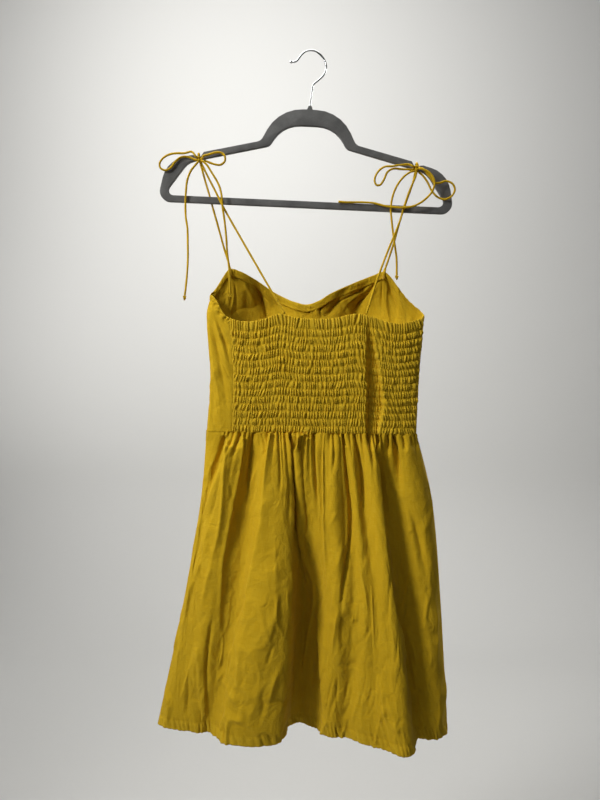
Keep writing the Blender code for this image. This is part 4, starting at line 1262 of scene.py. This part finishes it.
def make_skirt_half(name, start, end, columns, rows, drapes, flat, seed, node):
    drop = WAIST_Z - HEM_Z
    hem_depth = bpy.context.scene.dress_cloth.hem_depth / MM

    def surface(across, down):
        around = lapped(start, end, SEAM_OVERLAP / FOLD_PITCH, across)
        sway = smooth(down / 0.15) * smooth(min(around - start, end - around) / 1.0)
        around += 0.16 * sway * rumple(around * 0.5, down * 2.6, seed)
        point = skirt_point(around, down)
        point.z += 0.9 * smooth((down - 0.9) / 0.1) * rumple(across * flat[0] / 22.0, 0.0, seed + 5)
        return point

    def relief(across, down, co):
        around = start + (end - start) * across
        height = drape_height(drapes, around, down) if drapes else seen_height("skirt", co)
        plain = smooth((around - start - GATHERS_FROM) / 0.5) if not drapes else 1.0
        height += plain * gathering(around, down, seed)
        u, v = across * flat[0], down * flat[1]
        height += crumpling(u, v, seed + 2) * smooth(down / 0.2) * (0.45 + 0.8 * down)
        above_hem = (1.0 - down) * drop
        in_hem = smooth((hem_depth + 0.6 - above_hem) / 1.2)
        pull = (u + 0.5 * above_hem + 9.0 * rumple(u / 35.0, 0.0, seed + 3)) / HEM_PUCKER
        pucker = bump(pull - round(pull), 0.15) * (0.7 + 0.9 * rumple(round(pull) * 1.7, 0.0, seed + 4))
        near_hem = smooth((1.7 * hem_depth - above_hem) / hem_depth)
        height += 0.5 * in_hem - 3.2 * pucker * near_hem * smooth((above_hem + 4.0) / 8.0)
        height -= 0.8 * bump(above_hem - hem_depth, 1.4)
        height -= 0.5 * bump(drop * down, 2.2)
        height *= smooth(min(around - start, end - around) / 0.5)
        if name == "skirt_back_half":
            across_press = smooth((co.x - PRESSED_FROM) / 6.0) * smooth((PRESSED_TO - co.x) / 12.0)
            height -= 1.6 * across_press * bump(co.z - PRESSED_Z, 1.8)
        return height, 0.35 * bump(above_hem, 2.0) + 0.15 * in_hem

    panel = cloth_panel(name, surface, columns, rows, flat, relief, [node], crowding=0.5)
    sew(f"hem_stitches_{name.split('_')[1]}", surface, relief, [lambda across: 1.0 - hem_depth / drop],
        HEM_PITCH * (end - start))


def make_skirt():
    make_skirt_half("skirt_back_half", 0, BACK_SPAN, columns=396, rows=124, drapes=(), flat=(820.0, 475.0),
                    seed=41, node="skirt_back")
    make_skirt_half("skirt_front_half", BACK_SPAN, RING_SPAN, columns=300, rows=110, drapes=front_drapes(),
                    flat=(620.0, 475.0), seed=61, node="skirt_front")


# The bow knots' centres, and half the sizes of a bow knot and of a knot at a cord's end
KNOTS = {"left": Vector((-164.2, -8.3, -167.0)), "right": Vector((161.0, -8.3, -181.2))}
KNOT_HALF = Vector((5.2, 5.0, 4.6))
END_KNOT_HALF = Vector((2.6, 2.6, 3.0))


def knot_exit(side, turn, nearer):
    """Two points where a cord leaves a bow knot: turn from +X toward +Z, nearer toward the viewer."""
    turn, nearer = math.radians(turn), math.radians(nearer)
    way = Vector((math.cos(turn) * math.cos(nearer), -math.sin(nearer), math.sin(turn) * math.cos(nearer)))
    radius = 1.0 / math.sqrt(sum((part / half)**2 for part, half in zip(way, KNOT_HALF)))
    centre = KNOTS[side]
    return [centre + way * (radius + 0.45), centre + way * (radius + 3.0)]


class Cord(NamedTuple):
    """A stretch of rouleau cord: the knot it leaves, its exit and return angles, and its route."""
    name: str
    node: str
    side: str
    leave: tuple
    route: tuple
    length: float
    lay: str
    comes_back: tuple = None
    end_knot: str = None


CORDS = (
    Cord("tie_front_left", "strap_front_left", "left", (118, -28), (
        (-167.4, -5.0, -158.4), (-167.5, -0.2, -155.4), (-167.3, 5.2, -158.4), (-166.6, 6.0, -165.0),
        (-160.5, 5.4, -188.0), (-152.2, 5.4, -217.0), (-146.4, 5.6, -238.0), (-139.8, 8.8, -262.0),
        (-131.4, 13.8, -293.5), (-124.0, 15.4, -318.0), (-122.8, 15.6, -324.2)), 0.191, "taut"),
    Cord("tie_back_left", "strap_back_left", "left", (-72, -24), (
        (-158.5, -6.4, -181.0), (-149.4, -5.6, -199.0), (-136.6, -5.2, -224.0), (-128.6, -6.4, -240.0),
        (-98.6, -11.6, -293.5), (-66.0, -18.8, -350.6), (-37.4, -23.9, -400.6)), 0.263, "taut"),
    Cord("tail_outer_left", "tail_long_left", "left", (-122, 20), (
        (-170.8, -9.4, -175.6), (-178.2, -8.6, -184.6), (-183.8, -7.6, -199.0), (-186.0, -6.2, -216.0),
        (-186.8, -5.6, -232.0), (-186.2, -6.4, -252.0), (-183.4, -7.8, -270.0), (-182.8, -8.2, -292.0),
        (-182.6, -8.0, -316.0), (-184.0, -7.6, -340.0), (-187.4, -7.2, -371.0)), 0.207, "hanging",
         None, "end_knot_left_outer"),
    Cord("tail_near_left", "tail_inner_left", "left", (-45, 34), (
        (-154.4, -12.8, -176.0), (-145.8, -12.2, -189.0), (-136.0, -11.4, -206.0), (-132.0, -11.0, -220.0),
        (-130.8, -10.6, -236.0), (-127.6, -9.6, -258.0), (-125.2, -6.6, -284.0), (-124.2, -4.4, -304.0),
        (-121.2, -1.6, -333.0), (-120.2, -0.6, -368.0)), 0.208, "hanging", None, "end_knot_left_inner"),
    Cord("bow_outer_left", "loop_outer_left", "left", (152, 30), (
        (-176.4, -10.6, -156.6), (-187.6, -10.2, -158.6), (-198.6, -9.4, -158.2), (-209.4, -8.8, -159.6),
        (-219.0, -8.2, -164.4), (-225.2, -7.4, -172.6), (-224.0, -6.6, -179.4), (-217.0, -6.0, -182.4),
        (-209.2, -5.8, -179.0), (-202.0, -5.6, -169.4), (-193.0, -5.4, -162.4), (-183.0, -5.6, -162.2)),
         0.139, "loose", (178, -26)),
    Cord("bow_inner_left", "loop_inner_left", "left", (38, 16), (
        (-152.4, -8.4, -160.2), (-142.0, -7.6, -156.6), (-133.0, -7.2, -156.6), (-127.4, -7.0, -161.8),
        (-127.6, -6.8, -169.6), (-134.0, -6.8, -174.6), (-143.6, -7.0, -173.6)), 0.079, "loose", (-14, -6)),
    Cord("tie_front_right", "strap_front_right", "right", (72, -28), (
        (162.2, -5.0, -173.0), (162.0, -0.2, -169.8), (161.8, 5.2, -172.8), (161.2, 6.0, -179.6),
        (157.0, 3.2, -198.0), (149.6, -3.4, -218.4), (142.6, -5.2, -238.0), (137.4, -2.8, -254.0),
        (128.8, 7.6, -288.0), (119.0, 20.8, -320.6), (116.4, 22.4, -327.4)), 0.184, "taut"),
    Cord("tie_back_right", "strap_back_right", "right", (-98, 6), (
        (158.6, -8.8, -193.6), (149.6, -8.9, -215.0), (141.4, -9.2, -239.0), (134.4, -11.2, -262.0),
        (116.4, -15.8, -306.0), (100.4, -20.2, -348.0), (83.4, -23.8, -400.8)), 0.229, "taut"),
    Cord("tail_near_right", "tail_hanging_right", "right", (-143, 12), (
        (152.0, -9.6, -186.0), (141.0, -9.2, -193.6), (130.8, -8.0, -207.0), (124.2, -6.4, -224.6),
        (122.2, -5.8, -242.0), (123.6, -6.0, -260.0), (126.6, -6.6, -286.0), (130.4, -7.4, -314.0),
        (130.8, -7.8, -340.4)), 0.171, "hanging", None, "end_knot_right"),
    Cord("tail_bare", "tail_bare_right", "right", (-24, 52), (
        (168.6, -14.6, -184.2), (177.6, -15.0, -189.0), (185.6, -15.2, -201.6), (183.4, -14.8, -215.6),
        (172.0, -14.0, -229.0), (158.4, -13.4, -237.4), (143.6, -12.8, -240.6), (128.6, -11.2, -239.8),
        (112.4, -7.6, -236.4), (96.6, -5.6, -231.8), (77.4, -5.2, -230.4), (56.0, -5.2, -230.2),
        (43.4, -5.2, -229.4)), 0.197, "loose"),
    Cord("bow_inner_right", "loop_inner_right", "right", (158, 26), (
        (148.0, -11.0, -175.8), (136.0, -10.4, -176.2), (124.0, -9.8, -177.8), (112.6, -9.0, -178.4),
        (102.6, -8.2, -185.6), (97.6, -7.4, -197.6), (100.4, -6.8, -205.0), (106.0, -6.2, -204.6),
        (111.6, -5.8, -197.0), (117.6, -5.4, -184.6), (126.0, -5.2, -179.8), (138.0, -5.4, -180.6),
        (149.0, -5.6, -181.2)), 0.149, "loose", (182, -28)),
    Cord("bow_outer_right", "loop_outer_right", "right", (-44, -30), (
        (168.6, -5.4, -188.4), (177.0, -5.4, -199.4), (184.0, -5.6, -213.4), (192.0, -6.2, -222.6),
        (203.0, -7.0, -226.4), (212.8, -8.0, -222.4), (217.8, -8.8, -213.0), (214.4, -9.4, -204.4),
        (204.6, -9.8, -200.0), (194.6, -10.0, -203.0), (187.0, -10.2, -202.6), (180.0, -10.4, -194.0),
        (172.4, -10.2, -184.6)), 0.151, "loose", (0, 10)),
)
CORD_STEP = 1.6
CORD_SIDES = 12


def curve_through(points, spacing):
    """Evenly spaced points on a smooth curve through a route's own points."""
    path = [Vector(point) for point in points]
    path = [2.0 * path[0] - path[1]] + path + [2.0 * path[-1] - path[-2]]
    fine = []
    for a, b, c, d in zip(path, path[1:], path[2:], path[3:]):
        knots = [0.0]
        for first, second in ((a, b), (b, c), (c, d)):
            knots.append(knots[-1] + math.sqrt((second - first).length))
        steps = max(4, round(4.0 * (c - b).length))
        for step in range(steps):
            t = knots[1] + (knots[2] - knots[1]) * step / steps
            ab = a.lerp(b, (t - knots[0]) / (knots[1] - knots[0]))
            bc = b.lerp(c, (t - knots[1]) / (knots[2] - knots[1]))
            cd = c.lerp(d, (t - knots[2]) / (knots[3] - knots[2]))
            abc = ab.lerp(bc, (t - knots[0]) / (knots[2] - knots[0]))
            bcd = bc.lerp(cd, (t - knots[1]) / (knots[3] - knots[1]))
            fine.append(abc.lerp(bcd, (t - knots[1]) / (knots[2] - knots[1])))
    fine.append(path[-2])
    kept = [fine[0]]
    for at in fine:
        if (at - kept[-1]).length >= spacing and (fine[-1] - at).length > 0.5 * spacing:
            kept.append(at)
    return kept + [fine[-1]]


def sweep_ring(bm, path, radii, sides, groove=0.0, twist=0.0):
    """A round cord along a path in millimetres, its ends closed. A groove along it marks its seam."""
    ahead = [path[min(k + 1, len(path) - 1)] - path[max(k - 1, 0)] for k in range(len(path))]
    side = ahead[0].orthogonal().normalized()
    places = []
    for point, way, radius in zip(path, ahead, radii):
        way = way.normalized()
        side = Matrix.Rotation(twist, 3, way) @ (side - way * side.dot(way)).normalized()
        across = way.cross(side)
        turned = Matrix((side, across, way)).transposed().to_4x4()
        places.append(Matrix.Translation(point * MM) @ turned @ Matrix.Scale(radius * MM, 4))
    ring = bmesh.ops.create_circle(bm, segments=sides, radius=1.0)["verts"]
    ring[0].co *= 1.0 - groove
    edges = list({edge for vert in ring for edge in vert.link_edges})
    bmesh.ops.transform(bm, matrix=places[0], verts=ring)
    bmesh.ops.contextual_create(bm, geom=edges)
    for before, after in zip(places, places[1:]):
        made = bmesh.ops.extrude_edge_only(bm, edges=edges)["geom"]
        ring = [item for item in made if isinstance(item, bmesh.types.BMVert)]
        edges = [item for item in made if isinstance(item, bmesh.types.BMEdge) and item.is_boundary]
        bmesh.ops.transform(bm, matrix=after @ before.inverted(), verts=ring)
    bmesh.ops.contextual_create(bm, geom=edges)
    bmesh.ops.recalc_face_normals(bm, faces=bm.faces)


def knot_path(centre, half, cord_radius, turn=0.0):
    """The line of a cord pulled into a tight knot inside the given half sizes."""
    reach = [part - cord_radius for part in half]
    path = []
    steps = 64
    for k in range(steps + 1):
        t = 2.0 * math.pi * k / steps + turn
        path.append(centre + Vector((
            reach[0] * (math.sin(t) + 2.0 * math.sin(2.0 * t)) / 2.6,
            -reach[1] * math.sin(3.0 * t),
            reach[2] * (math.cos(t) - 2.0 * math.cos(2.0 * t)) / 2.6)))
    return path


class Tab(NamedTuple):
    """The flattened end of a front tie, sewn down inside its cup: its route and its bar of stitches."""
    side: str
    route: tuple
    bar: tuple


TABS = (
    Tab("left", ((-123.4, 15.4, -321.0), (-122.6, 14.2, -325.2), (-121.9, 12.6, -329.5),
                 (-121.6, 12.6, -335.0), (-121.4, 13.0, -340.0)), (-121.5, 11.5, -337.0)),
    Tab("right", ((118.0, 21.2, -323.0), (116.6, 19.6, -327.6), (115.4, 17.2, -331.5),
                  (114.9, 17.3, -336.0), (114.7, 18.2, -342.0)), (114.8, 16.2, -338.5)),
)
TAB_WIDTH = 4.6
TACKS = 9
TACK_PITCH = 0.5


def make_tabs():
    """Flat tabs that end the front ties, and the dense bars of thread across them."""
    for tab in TABS:
        path = curve_through(tab.route, 0.8)
        bm = bmesh.new()
        sweep_ring(bm, path, [0.5 * CORD] * len(path), CORD_SIDES, groove=0.1)
        for vert in bm.verts:
            centre = min(path, key=lambda point: (point - vert.co / MM).length)
            pressed = smooth((path[0] - centre).length / 5.0)
            away = vert.co / MM - centre
            away.x *= 1.0 + (TAB_WIDTH / CORD - 1.0) * pressed
            away.y *= 1.0 - 0.5 * pressed
            vert.co = (centre + away) * MM
        finish_piece(f"tie_tab_{tab.side}", bm, plain_weave_cotton("bias_cut_cotton_cord", False))
        bm = bmesh.new()
        for k in range(TACKS):
            centre = Vector(tab.bar) + Vector((0.0, 0.0, TACK_PITCH * (k - (TACKS - 1) / 2)))
            half = Vector((0.5 * TAB_WIDTH + 0.2 * uneven(k, 3), 0.0, 0.15 * uneven(k, 5)))
            raised = centre + Vector((0.0, -0.3, 0.0))
            sweep_ring(bm, [centre - half, raised, centre + half], [0.25, 0.3, 0.25], sides=8)
        finish_piece(f"bar_tack_{tab.side}", bm, cotton_thread())


def make_cords():
    cotton = plain_weave_cotton("bias_cut_cotton_cord", False)
    for side, centre in KNOTS.items():
        bm = bmesh.new()
        path = knot_path(centre, KNOT_HALF, cord_radius=1.5, turn=0.4 if side == "left" else 1.3)
        sweep_ring(bm, path, [1.55] * len(path), CORD_SIDES, groove=0.12, twist=0.03)
        finish_piece(f"tied_bow_{side}", bm, cotton, [f"bow_knot_{side}"])
    for number, cord in enumerate(CORDS):
        root, start = knot_exit(cord.side, *cord.leave)
        route = [start] + [Vector(point) for point in cord.route]
        ends = []
        if cord.comes_back:
            end, last = knot_exit(cord.side, *cord.comes_back)
            route.append(last)
            ends = [end]
        path = [root] + curve_through(route, CORD_STEP) + ends
        radii = [0.5 * CORD * (1.0 + 0.07 * rumple(k * CORD_STEP / 7.0, number, 2))
                 for k in range(len(path))]
        bm = bmesh.new()
        sweep_ring(bm, path, radii, CORD_SIDES, groove=0.16, twist=0.02)
        piece = finish_piece(cord.name, bm, cotton, [cord.node])
        on_it = []
        if cord.end_knot:
            down = (route[-1] - route[-2]).normalized()
            centre = route[-1] + down * END_KNOT_HALF.z
            bm = bmesh.new()
            knot = knot_path(centre, END_KNOT_HALF, cord_radius=1.0, turn=0.9)
            sweep_ring(bm, knot, [1.1] * len(knot), sides=10, groove=0.1, twist=0.03)
            stub = [centre + down * step for step in (1.0, 2.5, 4.2)]
            sweep_ring(bm, stub, [1.3, 1.4, 1.15], sides=10)
            on_it = [finish_piece(cord.end_knot.replace("end_knot", "cord_end"), bm, cotton,
                                  [cord.end_knot])]


# How far the hanger leans, and how far its middle lies from the point that it hangs by
FROM_UPRIGHT = math.radians(2.6)
HANGER_CENTRE = 4.7
HOOK_WIRE = 2.8
# The wire's x and z on the upright hanger, from the hook's tip to its seat in the frame
HOOK_ROUTE = (
    (-29.6, -17.2), (-26.0, -16.9), (-22.4, -14.4), (-19.2, -9.4), (-14.6, -3.6), (-9.0, 0.0), (-3.4, 1.3),
    (3.0, 0.8), (9.6, -2.4), (16.0, -8.8), (20.0, -15.8), (21.6, -23.6), (20.0, -31.2), (15.8, -38.0),
    (9.8, -44.0), (4.6, -48.6), (2.6, -52.5), (1.6, -62.0), (0.6, -73.0), (0.0, -83.5),
)
HOOK_TIP = 2.2


def tilted(x, y, z):
    """A point of the upright hanger, moved to its hanging place."""
    return Matrix.Rotation(FROM_UPRIGHT, 3, "Y") @ Vector((x + HANGER_CENTRE, y, z))


def make_hanger():
    """The flocked frame with its edges rounded, and the chrome hook with its ball tip."""
    bm = bmesh.new()
    bm.from_mesh(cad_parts["hanger_frame"].data)
    bmesh.ops.remove_doubles(bm, verts=bm.verts, dist=1e-6)
    bmesh.ops.dissolve_limit(bm, angle_limit=math.radians(1.0), verts=bm.verts, edges=bm.edges)
    rims = [edge for edge in bm.edges if abs(edge.verts[0].co.y - edge.verts[1].co.y) < 1e-6
            and edge.calc_face_angle(0.0) > 1.0]
    bmesh.ops.bevel(bm, geom=rims, affect="EDGES", offset=bpy.context.scene.dress_hanger.edge_round,
                    offset_type="OFFSET", segments=4, profile=0.5, material=-1, clamp_overlap=True)
    piece = finish_piece("flocked_frame", bm, velvet_flock(), ["hanger_frame"])
    piece.data.set_sharp_from_angle(angle=math.radians(40.0))
    route = [tilted(x, 0.0, z) for x, z in HOOK_ROUTE]
    path = curve_through(route, 1.2)
    bm = bmesh.new()
    sweep_ring(bm, path, [0.5 * HOOK_WIRE] * len(path), sides=20)
    finish_piece("chrome_hook", bm, chrome_plate(), ["hanger_hook"])
    bm = bmesh.new()
    centre = route[0] + (route[0] - route[1]).normalized() * HOOK_TIP
    bmesh.ops.create_uvsphere(bm, u_segments=24, v_segments=16, radius=HOOK_TIP * MM,
                              matrix=Matrix.Translation(centre * MM))
    finish_piece("chrome_ball_tip", bm, chrome_plate(), ["hook_tip"])


# The floor and the backdrop: their edges, and the bend between them
FLOOR_Z = -1620.0
FLOOR_NEAR_Y = -2300.0
BACKDROP_Y = 2300.0
BACKDROP_TOP_Z = 1900.0
SWEEP_HALF_WIDTH = 1900.0
SWEEP_RADIUS = 700.0
SWEEP_STEPS = 24
DRESS_MIDDLE = (0.0, 0.0, -650.0)
LAMP_WHITE = (1.0, 0.99, 0.97)


class Lamp(NamedTuple):
    """A soft round lamp: its place and aim, its width in metres, its spread in degrees and its power."""
    name: str
    place: tuple
    aim: tuple
    size_m: float
    spread: float
    power: float
    colour: tuple = LAMP_WHITE


def hang_lamp(lamp):
    """An area light that lights the scene without being seen itself."""
    light = bpy.data.lights.new(lamp.name, "AREA")
    light.shape = "DISK"
    light.size = lamp.size_m
    light.spread = math.radians(lamp.spread)
    light.energy = lamp.power
    light.color = lamp.colour
    thing = add_object(lamp.name, light)
    place = Vector(lamp.place)
    thing.location = place * MM
    thing.rotation_euler = (Vector(lamp.aim) - place).to_track_quat("-Z", "Y").to_euler()
    thing.visible_camera = False


def place_camera():
    """The camera, level and square to the dress's back."""
    camera = bpy.data.cameras.new("camera")
    camera.lens = CAMERA_LENS
    camera.sensor_width = CAMERA_SENSOR
    camera.clip_start = 0.05
    viewer = add_object("camera", camera)
    viewer.location = CAMERA_PLACE * MM
    viewer.rotation_euler = (math.radians(90.0), 0.0, 0.0)
    bpy.context.scene.camera = viewer


def make_sweep():
    """The floor and the backdrop in one, bent up far beyond the dress's front."""
    bm = bmesh.new()
    corners = [Vector((x, FLOOR_NEAR_Y, FLOOR_Z)) * MM for x in (SWEEP_HALF_WIDTH, -SWEEP_HALF_WIDTH)]
    edges = [bm.edges.new([bmesh.ops.create_vert(bm, co=corner)["vert"][0] for corner in corners])]
    profile = [(BACKDROP_Y - SWEEP_RADIUS, FLOOR_Z)]
    for k in range(1, SWEEP_STEPS + 1):
        angle = math.radians(90.0 * k / SWEEP_STEPS)
        profile.append((BACKDROP_Y - SWEEP_RADIUS + SWEEP_RADIUS * math.sin(angle),
                        FLOOR_Z + SWEEP_RADIUS * (1.0 - math.cos(angle))))
    profile.append((BACKDROP_Y, BACKDROP_TOP_Z))
    for y, z in profile:
        made = bmesh.ops.extrude_edge_only(bm, edges=edges)["geom"]
        edges = [item for item in made if isinstance(item, bmesh.types.BMEdge) and item.is_boundary
                 and all(vert in made for vert in item.verts)]
        for vert in (item for item in made if isinstance(item, bmesh.types.BMVert)):
            vert.co.y, vert.co.z = y * MM, z * MM
    sweep = add_mesh("studio_sweep", bm, matte_paint())


def make_sky(scene):
    """A weak even light from all round."""
    world = bpy.data.worlds.new("studio")
    world.use_nodes = True
    tree = world.node_tree
    sky = tree.nodes["Background"]
    sky.inputs["Color"].default_value = (0.80, 0.82, 0.85, 1.0)
    sky.inputs["Strength"].default_value = scene.dress_stage.sky
    # Past the sweep the camera sees an even pale grey, which adds no light
    pale = add_node(tree, "ShaderNodeBackground", {"Color": (0.80, 0.81, 0.82, 1.0), "Strength": 0.55})
    camera_ray = add_node(tree, "ShaderNodeLightPath").outputs["Is Camera Ray"]
    either = add_node(tree, "ShaderNodeMixShader", {
        "Fac": camera_ray, 1: sky.outputs["Background"], 2: pale.outputs["Background"]})
    tree.links.new(either.outputs["Shader"], tree.nodes["World Output"].inputs["Surface"])
    scene.world = world


def make_stage():
    """The camera, the sweep, the lamps and the sky."""
    scene = bpy.context.scene
    stage = scene.dress_stage
    place_camera()
    make_sweep()
    for lamp in (
        Lamp("key", (-1650, -1250, 450), DRESS_MIDDLE, 0.7, 60, stage.key_power, (1.0, 0.985, 0.96)),
        Lamp("fill", (1700, -1500, -500), DRESS_MIDDLE, 1.8, 90, stage.fill_power, (0.93, 0.96, 1.0)),
        Lamp("overhead", (-350, -1000, 900), (0, 0, -350), 1.0, 60, 0.6),
        Lamp("backdrop", (-450, 300, 1300), (350, BACKDROP_Y, 250), 2.2, 180, 71.0),
        Lamp("far_side", (1550, 1250, 450), DRESS_MIDDLE, 0.8, 60, 4.2),
        Lamp("backdrop_side", (-3600, 700, -300), (1500, BACKDROP_Y, -450), 1.2, 56, 9.5),
        Lamp("floor", (0, -2150, 900), (0, -2250, FLOOR_Z), 1.2, 80, 7.5),
    ):
        hang_lamp(lamp)
    make_sky(scene)
    scene.view_settings.view_transform = "Standard"


class DRESS_OT_hanger(bpy.types.Operator):
    """Round the flocked frame's edges and make its chrome hook"""
    bl_idname = "dress.hanger"
    bl_label = "Flocked hanger"

    def execute(self, context):
        make_hanger()
        return {"FINISHED"}


class DRESS_OT_cords(bpy.types.Operator):
    """Run the four cotton ties over the hanger and tie their bows"""
    bl_idname = "dress.cords"
    bl_label = "Cord ties and bows"

    def execute(self, context):
        make_cords()
        make_tabs()
        return {"FINISHED"}


class DRESS_OT_bodice_back(bpy.types.Operator):
    """Shirr the back panel and sew the plain sides to it"""
    bl_idname = "dress.bodice_back"
    bl_label = "Shirred back and sides"

    def execute(self, context):
        make_shirred_back()
        make_side_panels()
        return {"FINISHED"}


class DRESS_OT_bodice_front(bpy.types.Operator):
    """Sew the bust cups, their facings and the midriff"""
    bl_idname = "dress.bodice_front"
    bl_label = "Cups, facings and midriff"

    def execute(self, context):
        make_cups()
        make_facings()
        make_midriff()
        return {"FINISHED"}


class DRESS_OT_skirt(bpy.types.Operator):
    """Gather and hem the two halves of the skirt"""
    bl_idname = "dress.skirt"
    bl_label = "Gathered skirt"

    def execute(self, context):
        make_skirt()
        return {"FINISHED"}


class DRESS_OT_stage(bpy.types.Operator):
    """Set up the pale floor, the soft light and the camera"""
    bl_idname = "dress.stage"
    bl_label = "Studio"

    def execute(self, context):
        make_stage()
        return {"FINISHED"}


OPERATORS = (DRESS_OT_stage, DRESS_OT_cords, DRESS_OT_hanger, DRESS_OT_bodice_back, DRESS_OT_bodice_front,
             DRESS_OT_skirt)
GROUPS = {
    "dress_cloth": DressClothSettings,
    "dress_hanger": DressHangerSettings,
    "dress_stage": DressStageSettings,
}


class DRESS_PT_sidebar(bpy.types.Panel):
    """The dress's sizes, colours and pieces"""
    bl_idname = "DRESS_PT_sidebar"
    bl_label = "Mini dress"
    bl_space_type = "VIEW_3D"
    bl_region_type = "UI"
    bl_category = "Dress"

    def draw(self, context):
        for group, kind in GROUPS.items():
            box = self.layout.box()
            for name in kind.__annotations__:
                box.prop(getattr(context.scene, group), name)
        for operator in OPERATORS:
            self.layout.operator(operator.bl_idname)


def register():
    for kind in (*GROUPS.values(), *OPERATORS, DRESS_PT_sidebar):
        bpy.utils.register_class(kind)
    for name, kind in GROUPS.items():
        setattr(bpy.types.Scene, name, PointerProperty(type=kind))


def unregister():
    for name in GROUPS:
        delattr(bpy.types.Scene, name)
    for kind in (DRESS_PT_sidebar, *reversed(OPERATORS), *reversed(GROUPS.values())):
        bpy.utils.unregister_class(kind)


def main():
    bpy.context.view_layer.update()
    register()
    bpy.ops.dress.stage()
    bpy.ops.dress.cords()
    bpy.ops.dress.hanger()
    bpy.ops.dress.bodice_back()
    bpy.ops.dress.bodice_front()
    bpy.ops.dress.skirt()


if __name__ == "__main__":
    main()
